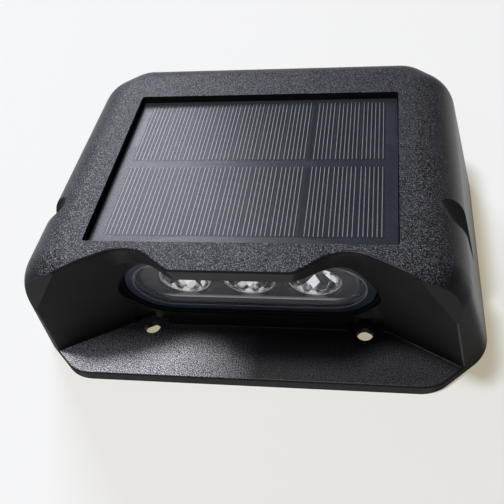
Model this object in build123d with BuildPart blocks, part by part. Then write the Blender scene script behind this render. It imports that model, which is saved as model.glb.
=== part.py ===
from build123d import *
from math import cos, pi, radians, sin, tan
import os

os.makedirs("parts", exist_ok=True)

# Solar wall light, lying on its back. x runs across it, y up the wall when it hangs, z out of
# the wall. The origin is the middle of the back face. The lamp bay is at the low end, minus y.
# Places named "reach" are measured from the front edge of the back face, towards plus y.

# Body
body_width = 125.0
body_length = 104.0
body_depth = 43.4
side_draft = 13.0
front_corner_across = 14.4
front_corner_along = 13.9
rear_corner = 15.4
upright_round = 13.0
top_round = 12.5
front_corner_lean = 5.0
front_corner_round = 12.0
front_edge_share = 0.1
corner_edge_share = 1.3
wall = 3.2
overrun = 4.0
nose_run = 40.0
nose_left = 14.0

# Lamp bay
floor_top = 3.0
wing_foot = 21.0
wing_angle = 30.0
wing_lean = 17.8
lamp_wall_reach = 18.0
lamp_wall_lean = 11.5
ceiling_drop = 8.0
bay_corner_round = 7.0
bay_wall = 2.2
visor_thickness = 4.4
lip_half_width = 15.0
lip_reach = 0.2
lip_round = 4.0
flank_angle = 40.0
arch_round = 10.0
visor_edge_round = 0.6
flange_edge_round = 0.6
flange_corner_round = 10.0
bay_floor_round = 0.5

# Flange and its two wall-screw holes
flange_rim = 2.4
flange_relief = 1.2
wall_hole_spacing = 60.0
wall_hole_reach = 16.6
wall_hole_radius = 2.2
driver_pocket_radius = 5.0
driver_pocket_height = 4.0

# Side notches
notch_radius = 4.8
notch_reach = 24.8
notch_tip_reach = 28.5
notch_top_inset = 15.4
notch_tip_height = 20.0
notch_wall = 2.0

# Panel window and panel
window_width = 76.2
window_length = 63.4
window_reach = 9.8
window_corner_round = 0.8
panel_sink = 2.1
panel_gap = 0.25
board_thickness = 1.0
cover_thickness = 0.6
cell_thickness = 0.2
cell_row_gap = 3.4
cell_front_margin = 5.1
cell_rear_margin = 1.5
cell_side_margin = 3.35
cell_gap = 0.3
cells_in_row = 10
tape_thickness = 0.3
tape_width = 5.0
tape_inset = 0.5
panel_lead_hole_radius = 2.6
panel_lead_hole_reach = 60.0
roof_web = 2.5
cavity_round = 3.5

# Back opening, plate, seal and screws
rim = 2.4
plate_recess = 0.8
plate_thickness = 2.6
plate_clearance = 0.25
opening_corner_round = 2.0
seal_thickness = 1.0
seal_width = 1.5
seal_clearance = 0.1
ledge_width = 1.8
ledge_thickness = 2.2
post_radius = 3.5
pilot_radius = 1.2
pilot_depth = 9.0
post_inset = 16.5
post_front_reach = 38.0
post_middle_reach = 65.0
rear_post_inset = 21.5
rear_post_back = 14.0
plate_screw_head_radius = 2.6
plate_screw_head_height = 1.6
plate_screw_length = 8.5
screw_play = 0.05
head_play = 0.3
cross_depth_share = 0.6
cross_width_share = 0.3

# Lens and lamp unit, stacked square to the bay wall
lens_rise = 19.5
lens_straight = 43.2
lens_radius = 11.6
lens_play = 0.2
lens_sink = 0.8
lens_window = 1.2
lens_skirt = 1.9
lens_flange_width = 2.0
lens_flange_thickness = 1.0
lens_edge_round = 0.3
lens_pocket_grow = 0.9
lens_pocket_depth = 0.5
gasket_thickness = 0.8
gasket_play = 0.1
seat_straight = 54.0
seat_radius = 15.0
island_straight = 41.2
island_radius = 8.9
island_drop = 0.5
island_round = 1.2
carrier_radius = 13.2
carrier_plate = 1.6
carrier_gap = 0.1
carrier_skirt_radius = 11.5
carrier_skirt_wall = 1.2
cup_spacing = 17.25
cup_rim_radius = 7.2
cup_bore_radius = 6.65
cup_wall = 0.35
cup_play = 0.05
cup_rim_height = 0.6
cup_rim_drop = 0.8
cup_depth = 6.6
cup_foot_radius = 2.5
cup_middle_radius = 5.5
cup_middle_share = 0.55
lamp_board_length = 84.0
lamp_board_width = 24.0
lamp_board_thickness = 1.6
lamp_board_round = 2.0
lamp_size = 3.0
lamp_height = 0.7
phosphor_radius = 1.2
phosphor_height = 0.2
lamp_screw_across = 38.5
lamp_screw_head_radius = 2.4
lamp_screw_head_height = 1.4
spacer_radius = 2.8
lamp_pilot_depth = 5.0

# Control board and what stands on it
control_board_width = 58.0
control_board_length = 32.0
control_board_thickness = 1.6
control_board_height = 11.0
control_board_reach = 52.5
control_board_round = 1.5
board_screw_inset = 3.6
board_post_radius = 2.8
board_screw_head_radius = 2.4
board_screw_head_height = 1.4
board_screw_length = 7.0
controller_length = 5.0
controller_width = 3.9
controller_height = 1.5
controller_legs = 4
leg_pitch = 1.27
leg_width = 0.4
leg_length = 1.0
leg_thickness = 0.25
driver_length = 4.5
driver_width = 2.5
driver_legs = 3
coil_radius = 3.5
coil_height = 4.0
coil_flange = 0.7
coil_waist = 2.6
capacitor_radius = 3.15
capacitor_height = 7.0
capacitor_groove = 0.3
capacitor_groove_height = 1.5
diode_length = 4.3
diode_width = 2.6
diode_height = 2.1
diode_foot = 0.6
resistor_length = 2.0
resistor_width = 1.25
resistor_height = 0.6
resistor_pitch = 2.4
resistor_count = 4
controller_place_share = (-0.2, -0.3)
driver_place_share = (0.2, -0.35)
coil_place_share = (0.55, -0.15)
capacitor_place_share = (-0.6, 0.25)
diode_place_share = (0.5, 0.6)
resistor_place_share = (-0.15, 0.55)

# Push button and its switch
button_across = -14.0
button_reach = 50.0
button_radius = 5.0
button_face = 0.2
button_play = 0.3
button_flange_radius = 6.5
button_flange_height = 1.2
button_flange_gap = 0.2
button_travel = 1.2
button_dish = 0.4
button_dish_radius = 3.4
button_dish_lean = 30.0
button_seal_height = 1.2
button_seal_width = 1.6
button_seal_play = 0.08
switch_size = 8.0
switch_gap = 0.3
plunger_radius = 1.75
plunger_play = 0.08
plunger_hidden = 1.4
plunger_bore_end = 0.3

# Battery, cradle and contacts
battery_radius = 9.2
battery_length = 65.0
battery_cap_radius = 3.0
battery_cap_height = 1.2
battery_back = 26.5
battery_edge_round = 0.8
cradle_wall = 1.6
cradle_play = 0.2
cradle_drop = 3.0
cradle_ear_thickness = 2.4
cradle_post_radius = 2.8
cradle_post_gap = 0.3
cradle_screw_length = 7.0
cradle_screw_head_radius = 2.3
cradle_screw_head_height = 1.4
contact_room = 1.6
contact_thickness = 0.5
contact_width = 10.0
contact_height = 12.0
contact_dimple_radius = 3.0
contact_dimple_lean = 30.0
contact_tab_length = 3.0
contact_tab_width = 3.0

# Leads: thickness, and how far apart the two of a pair run
lead_radius = 0.7
lead_pitch = 2.6
lead_bend_share = 0.45
panel_lead_aside = 5.7
panel_lead_along = 0.5
panel_lead_shares = ((0, 0, 0.32), (0.56, -4, 0.58), (1, 1, 0.82))
battery_pad_across = 22.0
battery_pad_along = 1.0
battery_lead_shares = ((0, 0, 1.19), (0.12, 0.44, 0.79), (0.56, 0.85, -0.26), (1, 1, -0.02))
lamp_joint_across = 8.0
lamp_joint_drop = 7.0
lamp_pad_across = 9.0
lamp_pad_back = 12.9
lamp_lead_shares = ((0, 0.42, -0.222), (1, 1, -0.09))

# Worked out from the sizes above
front_y = -body_length / 2
rear_y = body_length / 2
half_width = body_width / 2
bay_mouth = body_width - 2 * wing_foot
ceiling_height = body_depth - ceiling_drop
draft_slope = tan(radians(side_draft))
wing_slope = tan(radians(wing_lean))
lamp_slope = tan(radians(lamp_wall_lean))
wing_sine = sin(radians(wing_angle))
wing_cosine = cos(radians(wing_angle))
flank_sine = sin(radians(flank_angle))
flank_cosine = cos(radians(flank_angle))
visor_under = body_depth - visor_thickness
panel_top = body_depth - panel_sink
board_face = panel_top - cover_thickness
panel_bottom = board_face - board_thickness
pocket_floor = panel_bottom - tape_thickness
roof_under = pocket_floor - roof_web
plate_top = plate_recess + plate_thickness
ledge_height = plate_top + seal_thickness


def at_reach(distance):
    """Turn a distance from the front edge into y."""
    return front_y + distance


def bay_half_width(reach, height, grow=0.0):
    """Half the width between the two wings at one reach and height."""
    wing = bay_mouth / 2 * wing_sine + (body_depth - height) * wing_slope + grow
    return (wing - reach * wing_cosine) / wing_sine


def lamp_wall_at(height, grow=0.0):
    """Reach of the leaning wall that holds the lens."""
    return lamp_wall_reach - (height - floor_top) * lamp_slope + grow


def bay_plan(height, back_reach, grow=0.0):
    """Four corners of the bay at one height, open past the front edge."""
    front = bay_half_width(-nose_run, height, grow)
    back = bay_half_width(back_reach, height, grow)
    return [
        (-front, at_reach(-nose_run)),
        (front, at_reach(-nose_run)),
        (back, at_reach(back_reach)),
        (-back, at_reach(back_reach)),
    ]


def visor_plan(height):
    """Corners of the visor's front outline: wings, arches and straight lip."""
    step = (body_depth - height) * wing_slope
    front = bay_half_width(-nose_run, height)
    wing = bay_mouth / 2 * wing_sine + step
    flank = lip_reach * flank_cosine - lip_half_width * flank_sine + step
    turn = sin(radians(wing_angle + flank_angle))
    peak_x = (wing * flank_cosine - wing_cosine * flank) / turn
    peak_reach = (wing_sine * flank + flank_sine * wing) / turn
    lip_x = lip_half_width + step * (flank_cosine - 1) / flank_sine
    right = [
        (front, at_reach(-nose_run)),
        (peak_x, at_reach(peak_reach)),
        (lip_x, at_reach(lip_reach + step)),
    ]
    left = [(-x, y) for x, y in reversed(right)]
    return right + left


footprint = [
    (half_width, at_reach(front_corner_along)),
    (half_width, rear_y - rear_corner),
    (half_width - rear_corner, rear_y),
    (-half_width + rear_corner, rear_y),
    (-half_width, rear_y - rear_corner),
    (-half_width, at_reach(front_corner_along)),
    (-half_width + front_corner_across, front_y),
    (half_width - front_corner_across, front_y),
]

# The lens plane: its z axis points out of the bay wall, its y axis up the wall.
lamp_lean = radians(lamp_wall_lean)
lens_height = floor_top + lens_rise * cos(lamp_lean)
lens_plane = Plane(
    origin=(0, at_reach(lamp_wall_at(lens_height)), lens_height),
    x_dir=(1, 0, 0),
    z_dir=(0, -cos(lamp_lean), -sin(lamp_lean)),
)


def lamp_level(depth):
    """A plane behind the face of the bay wall, square to it."""
    return lens_plane.offset(-depth)


# Depths of the lamp unit's layers behind the bay wall
flange_front = bay_wall + gasket_thickness
lens_back = flange_front + lens_flange_thickness
lens_flange_radius = lens_radius + lens_flange_width
lens_inside_radius = lens_radius - lens_skirt
island_front = lens_sink + lens_window + island_drop
carrier_front = lens_back + carrier_gap
carrier_back = carrier_front + carrier_plate
cup_front = island_front + cup_rim_drop
cup_end = cup_front + cup_depth
cup_outer_radius = cup_bore_radius + cup_wall
lens_axis = Axis(lens_plane.origin, lens_plane.z_dir)
lamp_board_front = cup_end
lamp_board_back = lamp_board_front + lamp_board_thickness
lamp_names = ["left", "middle", "right"]
lamp_places = [(-cup_spacing, 0), (0, 0), (cup_spacing, 0)]
lamp_screws = [(-lamp_screw_across, 0), (lamp_screw_across, 0)]

# Places of screws and posts
plate_screws = [
    (side * across, at_reach(reach))
    for across, reach in (
        (half_width - post_inset, post_front_reach),
        (half_width - post_inset, post_middle_reach),
        (half_width - rear_post_inset, body_length - rear_post_back),
    )
    for side in (-1, 1)
]
wall_holes = [(side * wall_hole_spacing / 2, at_reach(wall_hole_reach)) for side in (-1, 1)]
board_y = at_reach(control_board_reach)
board_top = control_board_height + control_board_thickness
board_screw_x = control_board_width / 2 - board_screw_inset
board_screw_y = control_board_length / 2 - board_screw_inset
board_screws = [
    (sx * board_screw_x, board_y + sy * board_screw_y) for sx in (-1, 1) for sy in (-1, 1)
]
battery_y = rear_y - battery_back
battery_z = roof_under - cradle_wall - cradle_play - battery_radius
cell_span = battery_length + battery_cap_height
cradle_inner_length = cell_span + 2 * contact_room
cradle_length = cradle_inner_length + 2 * cradle_wall
cradle_inner_radius = battery_radius + cradle_play
cradle_width = 2 * (cradle_inner_radius + cradle_wall)
cradle_bottom = battery_z - cradle_drop
cradle_ear_top = cradle_bottom + cradle_ear_thickness
cradle_post_x = cradle_length / 2 + cradle_post_gap + cradle_post_radius
cradle_screws = [(-cradle_post_x, battery_y), (cradle_post_x, battery_y)]
window_y = at_reach(window_reach + window_length / 2)
opening_front = wall_hole_reach + driver_pocket_radius + bay_wall
opening_grow = bay_wall
button_place = (button_across, at_reach(button_reach))
button_flange_low = plate_top + button_seal_height + button_flange_gap
button_flange_top = button_flange_low + button_flange_height
switch_bottom = button_flange_top + button_travel + switch_gap

# The notch is a round groove whose bottom line leans more than the side wall.
notch_tip = Vector(
    half_width - notch_tip_height * draft_slope,
    at_reach(notch_tip_reach),
    notch_tip_height,
)
notch_top = Vector(half_width - notch_top_inset, at_reach(notch_reach), body_depth)
notch_run = (notch_top - notch_tip).normalized()
notch_out = Vector(notch_run.Z, 0, -notch_run.X).normalized()
notch_plane = Plane(
    origin=notch_tip + notch_out * notch_radius - notch_run * body_depth,
    x_dir=notch_out,
    z_dir=notch_run,
)


def near_outline(place):
    """Whether a place is on the front edge or on a cut-off front corner."""
    across = (half_width - abs(place.X)) / front_corner_across
    along = (place.Y - front_y) / front_corner_along
    return along < front_edge_share or across + along < corner_edge_share


def board_place(share):
    """A place on the control board from shares of its half sizes."""
    return (
        share[0] * control_board_width / 2,
        board_y + share[1] * control_board_length / 2,
    )


# Bay: the space between the wings, in front of the leaning lamp wall.
bay_levels = [
    (floor_top, lamp_wall_at(floor_top)),
    (ceiling_height, lamp_wall_at(ceiling_height)),
    (visor_under, lip_reach + visor_thickness * wing_slope),
]
with BuildPart() as bay:
    for lower, upper in zip(bay_levels, bay_levels[1:]):
        for level, reach in (lower, upper):
            with BuildSketch(Plane.XY.offset(level)) as bay_outline:
                with BuildLine():
                    Polyline(*bay_plan(level, reach), close=True)
                make_face()
                fillet(bay_outline.vertices().group_by(Axis.Y)[-1], radius=bay_corner_round)
        loft(ruled=True)
    fillet(bay.faces().sort_by(Axis.Z)[0].edges(), radius=bay_floor_round)

# Visor opening: the arches and the lip, from the bay's ceiling up through the roof.
with BuildPart() as visor_opening:
    for level in (ceiling_height, body_depth + overrun):
        with BuildSketch(Plane.XY.offset(level)) as visor_outline:
            with BuildLine():
                Polyline(*visor_plan(level), close=True)
            make_face()
            fillet(visor_outline.vertices().group_by(Axis.Y)[1], radius=lip_round)
            fillet(visor_outline.vertices().sort_by(Axis.Y)[-2:], radius=arch_round)
    loft(ruled=True)

# Back opening: inside the rim and behind the bay.
with BuildSketch() as back_opening:
    with BuildLine():
        Polyline(*footprint, close=True)
    make_face()
    offset(amount=-rim, kind=Kind.INTERSECTION)
    with BuildLine():
        Polyline(*bay_plan(0.0, opening_front, opening_grow), close=True)
    make_face(mode=Mode.SUBTRACT)
    fillet(back_opening.vertices(), radius=opening_corner_round)

# Cavity: what the walls, the bay and the lens seat leave free inside.
with BuildPart() as cavity:
    with BuildSketch():
        with BuildLine():
            Polyline(*footprint, close=True)
        make_face()
        offset(amount=-wall, kind=Kind.INTERSECTION)
    extrude(amount=roof_under, taper=side_draft)
    fillet(cavity.faces().sort_by(Axis.Z)[-1].edges(), radius=cavity_round)
    for level in (-overrun, body_depth):
        with BuildSketch(Plane.XY.offset(level)):
            with BuildLine():
                Polyline(*bay_plan(level, lamp_wall_at(level, bay_wall), bay_wall), close=True)
            make_face()
    loft(ruled=True, mode=Mode.SUBTRACT)
    with BuildSketch():
        with BuildLine():
            Polyline(
                *bay_plan(0.0, opening_front + ledge_width, opening_grow + ledge_width),
                close=True,
            )
        make_face()
    extrude(amount=ledge_height + ledge_thickness, mode=Mode.SUBTRACT)
    with BuildSketch(lamp_level(bay_wall)):
        SlotCenterToCenter(seat_straight, 2 * seat_radius)
    extrude(amount=bay_wall + nose_left, mode=Mode.SUBTRACT)
    with BuildSketch():
        with Locations(*wall_holes):
            Circle(driver_pocket_radius + bay_wall)
    extrude(amount=floor_top + driver_pocket_height + bay_wall, mode=Mode.SUBTRACT)
    with BuildSketch(notch_plane):
        Circle(notch_radius + notch_wall)
    extrude(amount=2 * body_depth, mode=Mode.SUBTRACT)
    split(bisect_by=Plane.YZ, keep=Keep.TOP)
    mirror(about=Plane.YZ)

with BuildPart() as notches:
    with BuildSketch(notch_plane):
        Circle(notch_radius)
    extrude(amount=2 * body_depth)
    mirror(about=Plane.YZ)

with BuildPart() as front_housing:
    # Drafted blank, run past the front edge, with rounded uprights and top edges
    with BuildSketch():
        with BuildLine():
            Polyline(
                (half_width, at_reach(-nose_run)),
                *footprint[1:5],
                (-half_width, at_reach(-nose_run)),
                close=True,
            )
        make_face()
    extrude(amount=body_depth, taper=side_draft)
    fillet(
        front_housing.edges().filter_by(
            lambda e: abs((e @ 1).Z - (e @ 0).Z) > body_depth / 2 and e.center().Y > front_y
        ),
        radius=upright_round,
    )
    fillet(
        front_housing.edges().filter_by(
            lambda e: min((e @ 0).Z, (e @ 1).Z) > body_depth - wall
            and e.center().Y > at_reach(-nose_run + wall)
        ),
        radius=top_round,
    )

    # Front corners cut off through the rounded edges, then the front cut square
    corner_slope = front_corner_across / front_corner_along
    nose_x = half_width - (front_corner_along + nose_left) * corner_slope
    outer_x = half_width + overrun * corner_slope
    with BuildSketch():
        with BuildLine():
            Polyline(
                (nose_x, at_reach(-nose_left)),
                (outer_x, at_reach(front_corner_along + overrun)),
                (outer_x, rear_y + overrun),
                (-outer_x, rear_y + overrun),
                (-outer_x, at_reach(front_corner_along + overrun)),
                (-nose_x, at_reach(-nose_left)),
                close=True,
            )
        make_face()
    extrude(amount=body_depth, taper=-front_corner_lean, mode=Mode.INTERSECT)
    fillet(
        front_housing.edges().filter_by(
            lambda e: abs((e @ 1).Z - (e @ 0).Z) > visor_thickness
            and abs(e.center().X) > half_width - 2 * front_corner_across
            and e.center().Y < at_reach(front_corner_along)
        ),
        radius=front_corner_round,
    )
    with BuildSketch():
        with Locations((0, at_reach(-nose_left))):
            Rectangle(2 * body_width, 2 * nose_left)
    extrude(amount=body_depth, mode=Mode.SUBTRACT)

    # The bay and the arches, with softened edges
    add(bay.part, mode=Mode.SUBTRACT)
    add(visor_opening.part, mode=Mode.SUBTRACT)
    fillet(
        front_housing.edges().filter_by(
            lambda e: min((e @ 0).Z, (e @ 1).Z) > body_depth - visor_edge_round
            and max((e @ 0).Y, (e @ 1).Y) < at_reach(window_reach)
            and abs(e.center().X) < bay_mouth / 2
        ),
        radius=visor_edge_round,
    )
    fillet(
        front_housing.edges().filter_by(
            lambda e: abs((e @ 0).Z - (e @ 1).Z) > floor_top / 2
            and max((e @ 0).Z, (e @ 1).Z) < floor_top + seal_clearance
            and (e @ 0).Y < at_reach(seal_clearance)
        ),
        radius=flange_corner_round,
    )
    fillet(
        front_housing.edges().filter_by(
            lambda e: abs((e @ 0).Z - floor_top) < seal_clearance
            and abs((e @ 1).Z - floor_top) < seal_clearance
            and near_outline(e.center())
        ),
        radius=flange_edge_round,
    )

    # Inside: the cavity and the opening for plate and seal
    add(cavity.part, mode=Mode.SUBTRACT)
    add(back_opening.sketch)
    extrude(amount=ledge_height, mode=Mode.SUBTRACT)

    # Panel window, with a hole in its floor for the panel's leads
    with BuildSketch(Plane.XY.offset(pocket_floor)):
        with Locations((0, window_y)):
            RectangleRounded(window_width, window_length, window_corner_round)
    extrude(amount=body_depth - pocket_floor, mode=Mode.SUBTRACT)
    with Locations((0, at_reach(panel_lead_hole_reach), pocket_floor)):
        Hole(radius=panel_lead_hole_radius, depth=roof_web + overrun)

    # Lens hole and the shallow pocket round it
    with BuildSketch(lamp_level(-nose_left)):
        SlotCenterToCenter(lens_straight, 2 * (lens_radius + lens_pocket_grow))
    extrude(amount=-nose_left - lens_pocket_depth, mode=Mode.SUBTRACT)
    with BuildSketch(lamp_level(-nose_left)):
        SlotCenterToCenter(lens_straight, 2 * (lens_radius + lens_play))
    extrude(amount=-nose_left - bay_wall - overrun, mode=Mode.SUBTRACT)

    # Posts for the plate, the battery cradle and the lamp board
    with BuildSketch(Plane.XY.offset(plate_top)):
        with Locations(*plate_screws):
            Circle(post_radius)
    extrude(amount=roof_under + roof_web / 2 - plate_top)
    with BuildSketch(Plane.XY.offset(cradle_ear_top)):
        with Locations(*cradle_screws):
            Circle(cradle_post_radius)
    extrude(amount=roof_under + roof_web / 2 - cradle_ear_top)
    with BuildSketch(lamp_level(lamp_board_front)):
        with Locations(*lamp_screws):
            Circle(spacer_radius)
    extrude(amount=lamp_board_front - bay_wall / 2)
    with BuildSketch(Plane.XY.offset(plate_top)):
        with Locations(*plate_screws):
            Circle(pilot_radius)
    extrude(amount=pilot_depth, mode=Mode.SUBTRACT)
    with BuildSketch(Plane.XY.offset(cradle_ear_top)):
        with Locations(*cradle_screws):
            Circle(pilot_radius)
    extrude(amount=cradle_screw_length, mode=Mode.SUBTRACT)
    with BuildSketch(lamp_level(lamp_board_front)):
        with Locations(*lamp_screws):
            Circle(pilot_radius)
    extrude(amount=lamp_pilot_depth, mode=Mode.SUBTRACT)

    # Flange: wall-screw holes, driver pockets above them and the relief underneath
    with BuildSketch(Plane.XY.offset(floor_top)):
        with Locations(*wall_holes):
            Circle(driver_pocket_radius)
    extrude(amount=driver_pocket_height, mode=Mode.SUBTRACT)
    with Locations(*[(x, y, floor_top) for x, y in wall_holes]):
        Hole(radius=wall_hole_radius, depth=floor_top + overrun)
    with BuildSketch() as relief:
        with BuildLine():
            Polyline(*footprint, close=True)
        make_face()
        offset(amount=-flange_rim, kind=Kind.INTERSECTION)
        with BuildLine():
            Polyline(*bay_plan(0.0, opening_front - flange_rim, -flange_rim), close=True)
        make_face(mode=Mode.INTERSECT)
    extrude(amount=flange_relief, mode=Mode.SUBTRACT)

    # Notches in both long sides
    add(notches.part, mode=Mode.SUBTRACT)
front_housing.part.label = "front_housing"
export_step(front_housing.part, "parts/front_housing.step")

# Lens: a clear cap that fills the hole in the bay wall, with a flange behind it
with BuildPart() as lens:
    with BuildSketch(lamp_level(lens_back)):
        SlotCenterToCenter(lens_straight, 2 * lens_flange_radius)
    extrude(amount=lens_flange_thickness)
    with BuildSketch(lamp_level(flange_front)):
        SlotCenterToCenter(lens_straight, 2 * lens_radius)
    extrude(amount=flange_front - lens_sink)
    fillet(lens.faces().sort_by(Axis.Y)[0].edges(), radius=lens_edge_round)
    with BuildSketch(lamp_level(lens_back)):
        SlotCenterToCenter(lens_straight, 2 * lens_inside_radius)
    extrude(amount=lens_back - lens_sink - lens_window, mode=Mode.SUBTRACT)
lens.part.label = "lens"
export_step(lens.part, "parts/lens.step")

# Soft ring pressed between the lens flange and the back of the bay wall
with BuildPart() as lens_gasket:
    with BuildSketch(lamp_level(flange_front)):
        SlotCenterToCenter(lens_straight, 2 * lens_flange_radius)
        SlotCenterToCenter(
            lens_straight,
            2 * (lens_radius + lens_play + gasket_play),
            mode=Mode.SUBTRACT,
        )
    extrude(amount=gasket_thickness)
lens_gasket.part.label = "lens_gasket"
export_step(lens_gasket.part, "parts/lens_gasket.step")

# Reflector carrier: a plate with a raised island, three stepped holes and a skirt
with BuildPart() as reflector_carrier:
    with BuildSketch(lamp_level(carrier_back)):
        SlotCenterToCenter(lens_straight, 2 * carrier_radius)
    extrude(amount=carrier_plate)
    with BuildSketch(lamp_level(carrier_front)):
        SlotCenterToCenter(island_straight, 2 * island_radius)
    extrude(amount=carrier_front - island_front)
    fillet(reflector_carrier.faces().sort_by(lens_axis)[-1].edges(), radius=island_round)
    with BuildSketch(lamp_level(lamp_board_front)):
        SlotCenterToCenter(lens_straight, 2 * carrier_skirt_radius)
        SlotCenterToCenter(
            lens_straight,
            2 * (carrier_skirt_radius - carrier_skirt_wall),
            mode=Mode.SUBTRACT,
        )
    extrude(amount=lamp_board_front - carrier_back)
    with BuildSketch(lamp_level(cup_front + cup_rim_height)):
        with Locations(*lamp_places):
            Circle(cup_rim_radius + cup_play)
    extrude(amount=cup_front, mode=Mode.SUBTRACT)
    with BuildSketch(lamp_level(lamp_board_front)):
        with Locations(*lamp_places):
            Circle(cup_outer_radius + cup_play)
    extrude(amount=lamp_board_front, mode=Mode.SUBTRACT)
reflector_carrier.part.label = "reflector_carrier"
export_step(reflector_carrier.part, "parts/reflector_carrier.step")

# Reflector cups: thin bright bowls with a narrow rim, one round each lamp
cup_middle_depth = cup_depth * cup_middle_share
for lamp_name, (lamp_x, lamp_y) in zip(lamp_names, lamp_places):
    cup_plane = Plane(
        origin=lamp_level(cup_front).from_local_coords((lamp_x, lamp_y, 0)),
        x_dir=(1, 0, 0),
        z_dir=-lens_plane.y_dir,
    )
    with BuildPart() as reflector_cup:
        with BuildSketch(cup_plane):
            with BuildLine():
                Line((cup_bore_radius, 0), (cup_rim_radius, 0))
                Line((cup_rim_radius, 0), (cup_rim_radius, -cup_rim_height))
                Line((cup_rim_radius, -cup_rim_height), (cup_outer_radius, -cup_rim_height))
                ThreePointArc(
                    (cup_outer_radius, -cup_rim_height),
                    (cup_middle_radius + cup_wall, -cup_middle_depth),
                    (cup_foot_radius + cup_wall, -cup_depth),
                )
                Line((cup_foot_radius + cup_wall, -cup_depth), (cup_foot_radius, -cup_depth))
                ThreePointArc(
                    (cup_foot_radius, -cup_depth),
                    (cup_middle_radius, -cup_middle_depth),
                    (cup_bore_radius, 0),
                )
            make_face()
        revolve(axis=Axis(cup_plane.origin, lens_plane.z_dir))
    reflector_cup.part.label = f"reflector_cup_{lamp_name}"
    export_step(reflector_cup.part, f"parts/reflector_cup_{lamp_name}.step")

# Lamps: square packages with a round well for the phosphor
for lamp_name, (lamp_x, lamp_y) in zip(lamp_names, lamp_places):
    with BuildPart() as lamp:
        with BuildSketch(lamp_level(lamp_board_front)):
            with Locations((lamp_x, lamp_y)):
                Rectangle(lamp_size, lamp_size)
        extrude(amount=lamp_height)
        with BuildSketch(lamp_level(lamp_board_front - lamp_height)):
            with Locations((lamp_x, lamp_y)):
                Circle(phosphor_radius)
        extrude(amount=-phosphor_height, mode=Mode.SUBTRACT)
    lamp.part.label = f"led_{lamp_name}"
    export_step(lamp.part, f"parts/led_{lamp_name}.step")

# Yellow phosphor in the wells of the three lamps
with BuildPart() as led_phosphor:
    with BuildSketch(lamp_level(lamp_board_front - lamp_height + phosphor_height)):
        with Locations(*lamp_places):
            Circle(phosphor_radius)
    extrude(amount=phosphor_height)
led_phosphor.part.label = "led_phosphor"
export_step(led_phosphor.part, "parts/led_phosphor.step")

# Lamp board, screwed to two posts at its ends
with BuildPart() as led_board:
    with BuildSketch(lamp_level(lamp_board_back)):
        RectangleRounded(lamp_board_length, lamp_board_width, lamp_board_round)
        with Locations(*lamp_screws):
            Circle(pilot_radius + screw_play, mode=Mode.SUBTRACT)
    extrude(amount=lamp_board_thickness)
led_board.part.label = "led_board"
export_step(led_board.part, "parts/led_board.step")


def screw_group(name, base, outward, places, head_radius, head_height, length):
    """Pan-head screws: heads stand on base and rise along outward, shanks go the other way."""
    with BuildPart() as screws:
        with BuildSketch(base):
            with Locations(*places):
                Circle(head_radius)
        extrude(amount=outward * head_height)
        fillet(
            screws.faces().filter_by(GeomType.PLANE).sort_by(Axis((0, 0, 0), base.z_dir * outward))[
                -len(places) :
            ].edges(),
            radius=head_height / 2,
        )
        with BuildSketch(base):
            with Locations(*places):
                Circle(pilot_radius - screw_play)
        extrude(amount=-outward * length)
        with BuildSketch(base.offset(outward * head_height)):
            with Locations(*places):
                Rectangle(head_radius, head_radius * cross_width_share)
                Rectangle(head_radius * cross_width_share, head_radius)
        extrude(amount=-outward * head_height * cross_depth_share, mode=Mode.SUBTRACT)
    screws.part.label = name
    export_step(screws.part, f"parts/{name}.step")


screw_group(
    "led_board_screws",
    lamp_level(lamp_board_back),
    -1,
    lamp_screws,
    lamp_screw_head_radius,
    lamp_screw_head_height,
    lamp_board_thickness + lamp_pilot_depth - head_play,
)

# Panel: backing board, two rows of cell strips and the clear cover over them
panel_width = window_width - 2 * panel_gap
panel_length = window_length - 2 * panel_gap
with BuildPart() as solar_backing_board:
    with BuildSketch(Plane.XY.offset(panel_bottom)):
        with Locations((0, window_y)):
            RectangleRounded(panel_width, panel_length, window_corner_round)
    extrude(amount=board_thickness)
solar_backing_board.part.label = "solar_backing_board"
export_step(solar_backing_board.part, "parts/solar_backing_board.step")

with BuildPart() as solar_adhesive:
    with BuildSketch(Plane.XY.offset(pocket_floor)):
        with Locations((0, window_y)):
            Rectangle(panel_width - 2 * tape_inset, panel_length - 2 * tape_inset)
            Rectangle(
                panel_width - 2 * tape_inset - 2 * tape_width,
                panel_length - 2 * tape_inset - 2 * tape_width,
                mode=Mode.SUBTRACT,
            )
    extrude(amount=tape_thickness)
solar_adhesive.part.label = "solar_adhesive"
export_step(solar_adhesive.part, "parts/solar_adhesive.step")

cell_row_length = (
    window_length - cell_front_margin - cell_row_gap - cell_rear_margin
) / 2
cell_pitch = (window_width - 2 * cell_side_margin) / cells_in_row
front_row_y = at_reach(window_reach + cell_front_margin + cell_row_length / 2)
rear_row_y = front_row_y + cell_row_length + cell_row_gap
first_cell_x = -window_width / 2 + cell_side_margin + cell_pitch / 2
cell_width = cell_pitch - cell_gap
cells = {}
for row_name, row_y in (("front", front_row_y), ("rear", rear_row_y)):
    with BuildPart() as solar_cells:
        with BuildSketch(Plane.XY.offset(board_face)):
            with Locations(*[(first_cell_x + i * cell_pitch, row_y) for i in range(cells_in_row)]):
                Rectangle(cell_width, cell_row_length)
        extrude(amount=cell_thickness)
    solar_cells.part.label = f"solar_cells_{row_name}_row"
    export_step(solar_cells.part, f"parts/solar_cells_{row_name}_row.step")
    cells[row_name] = solar_cells.part

with BuildPart() as solar_cover_sheet:
    with BuildSketch(Plane.XY.offset(board_face)):
        with Locations((0, window_y)):
            RectangleRounded(panel_width, panel_length, window_corner_round)
    extrude(amount=cover_thickness)
    add(cells["front"], mode=Mode.SUBTRACT)
    add(cells["rear"], mode=Mode.SUBTRACT)
solar_cover_sheet.part.label = "solar_cover_sheet"
export_step(solar_cover_sheet.part, "parts/solar_cover_sheet.step")

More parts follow.
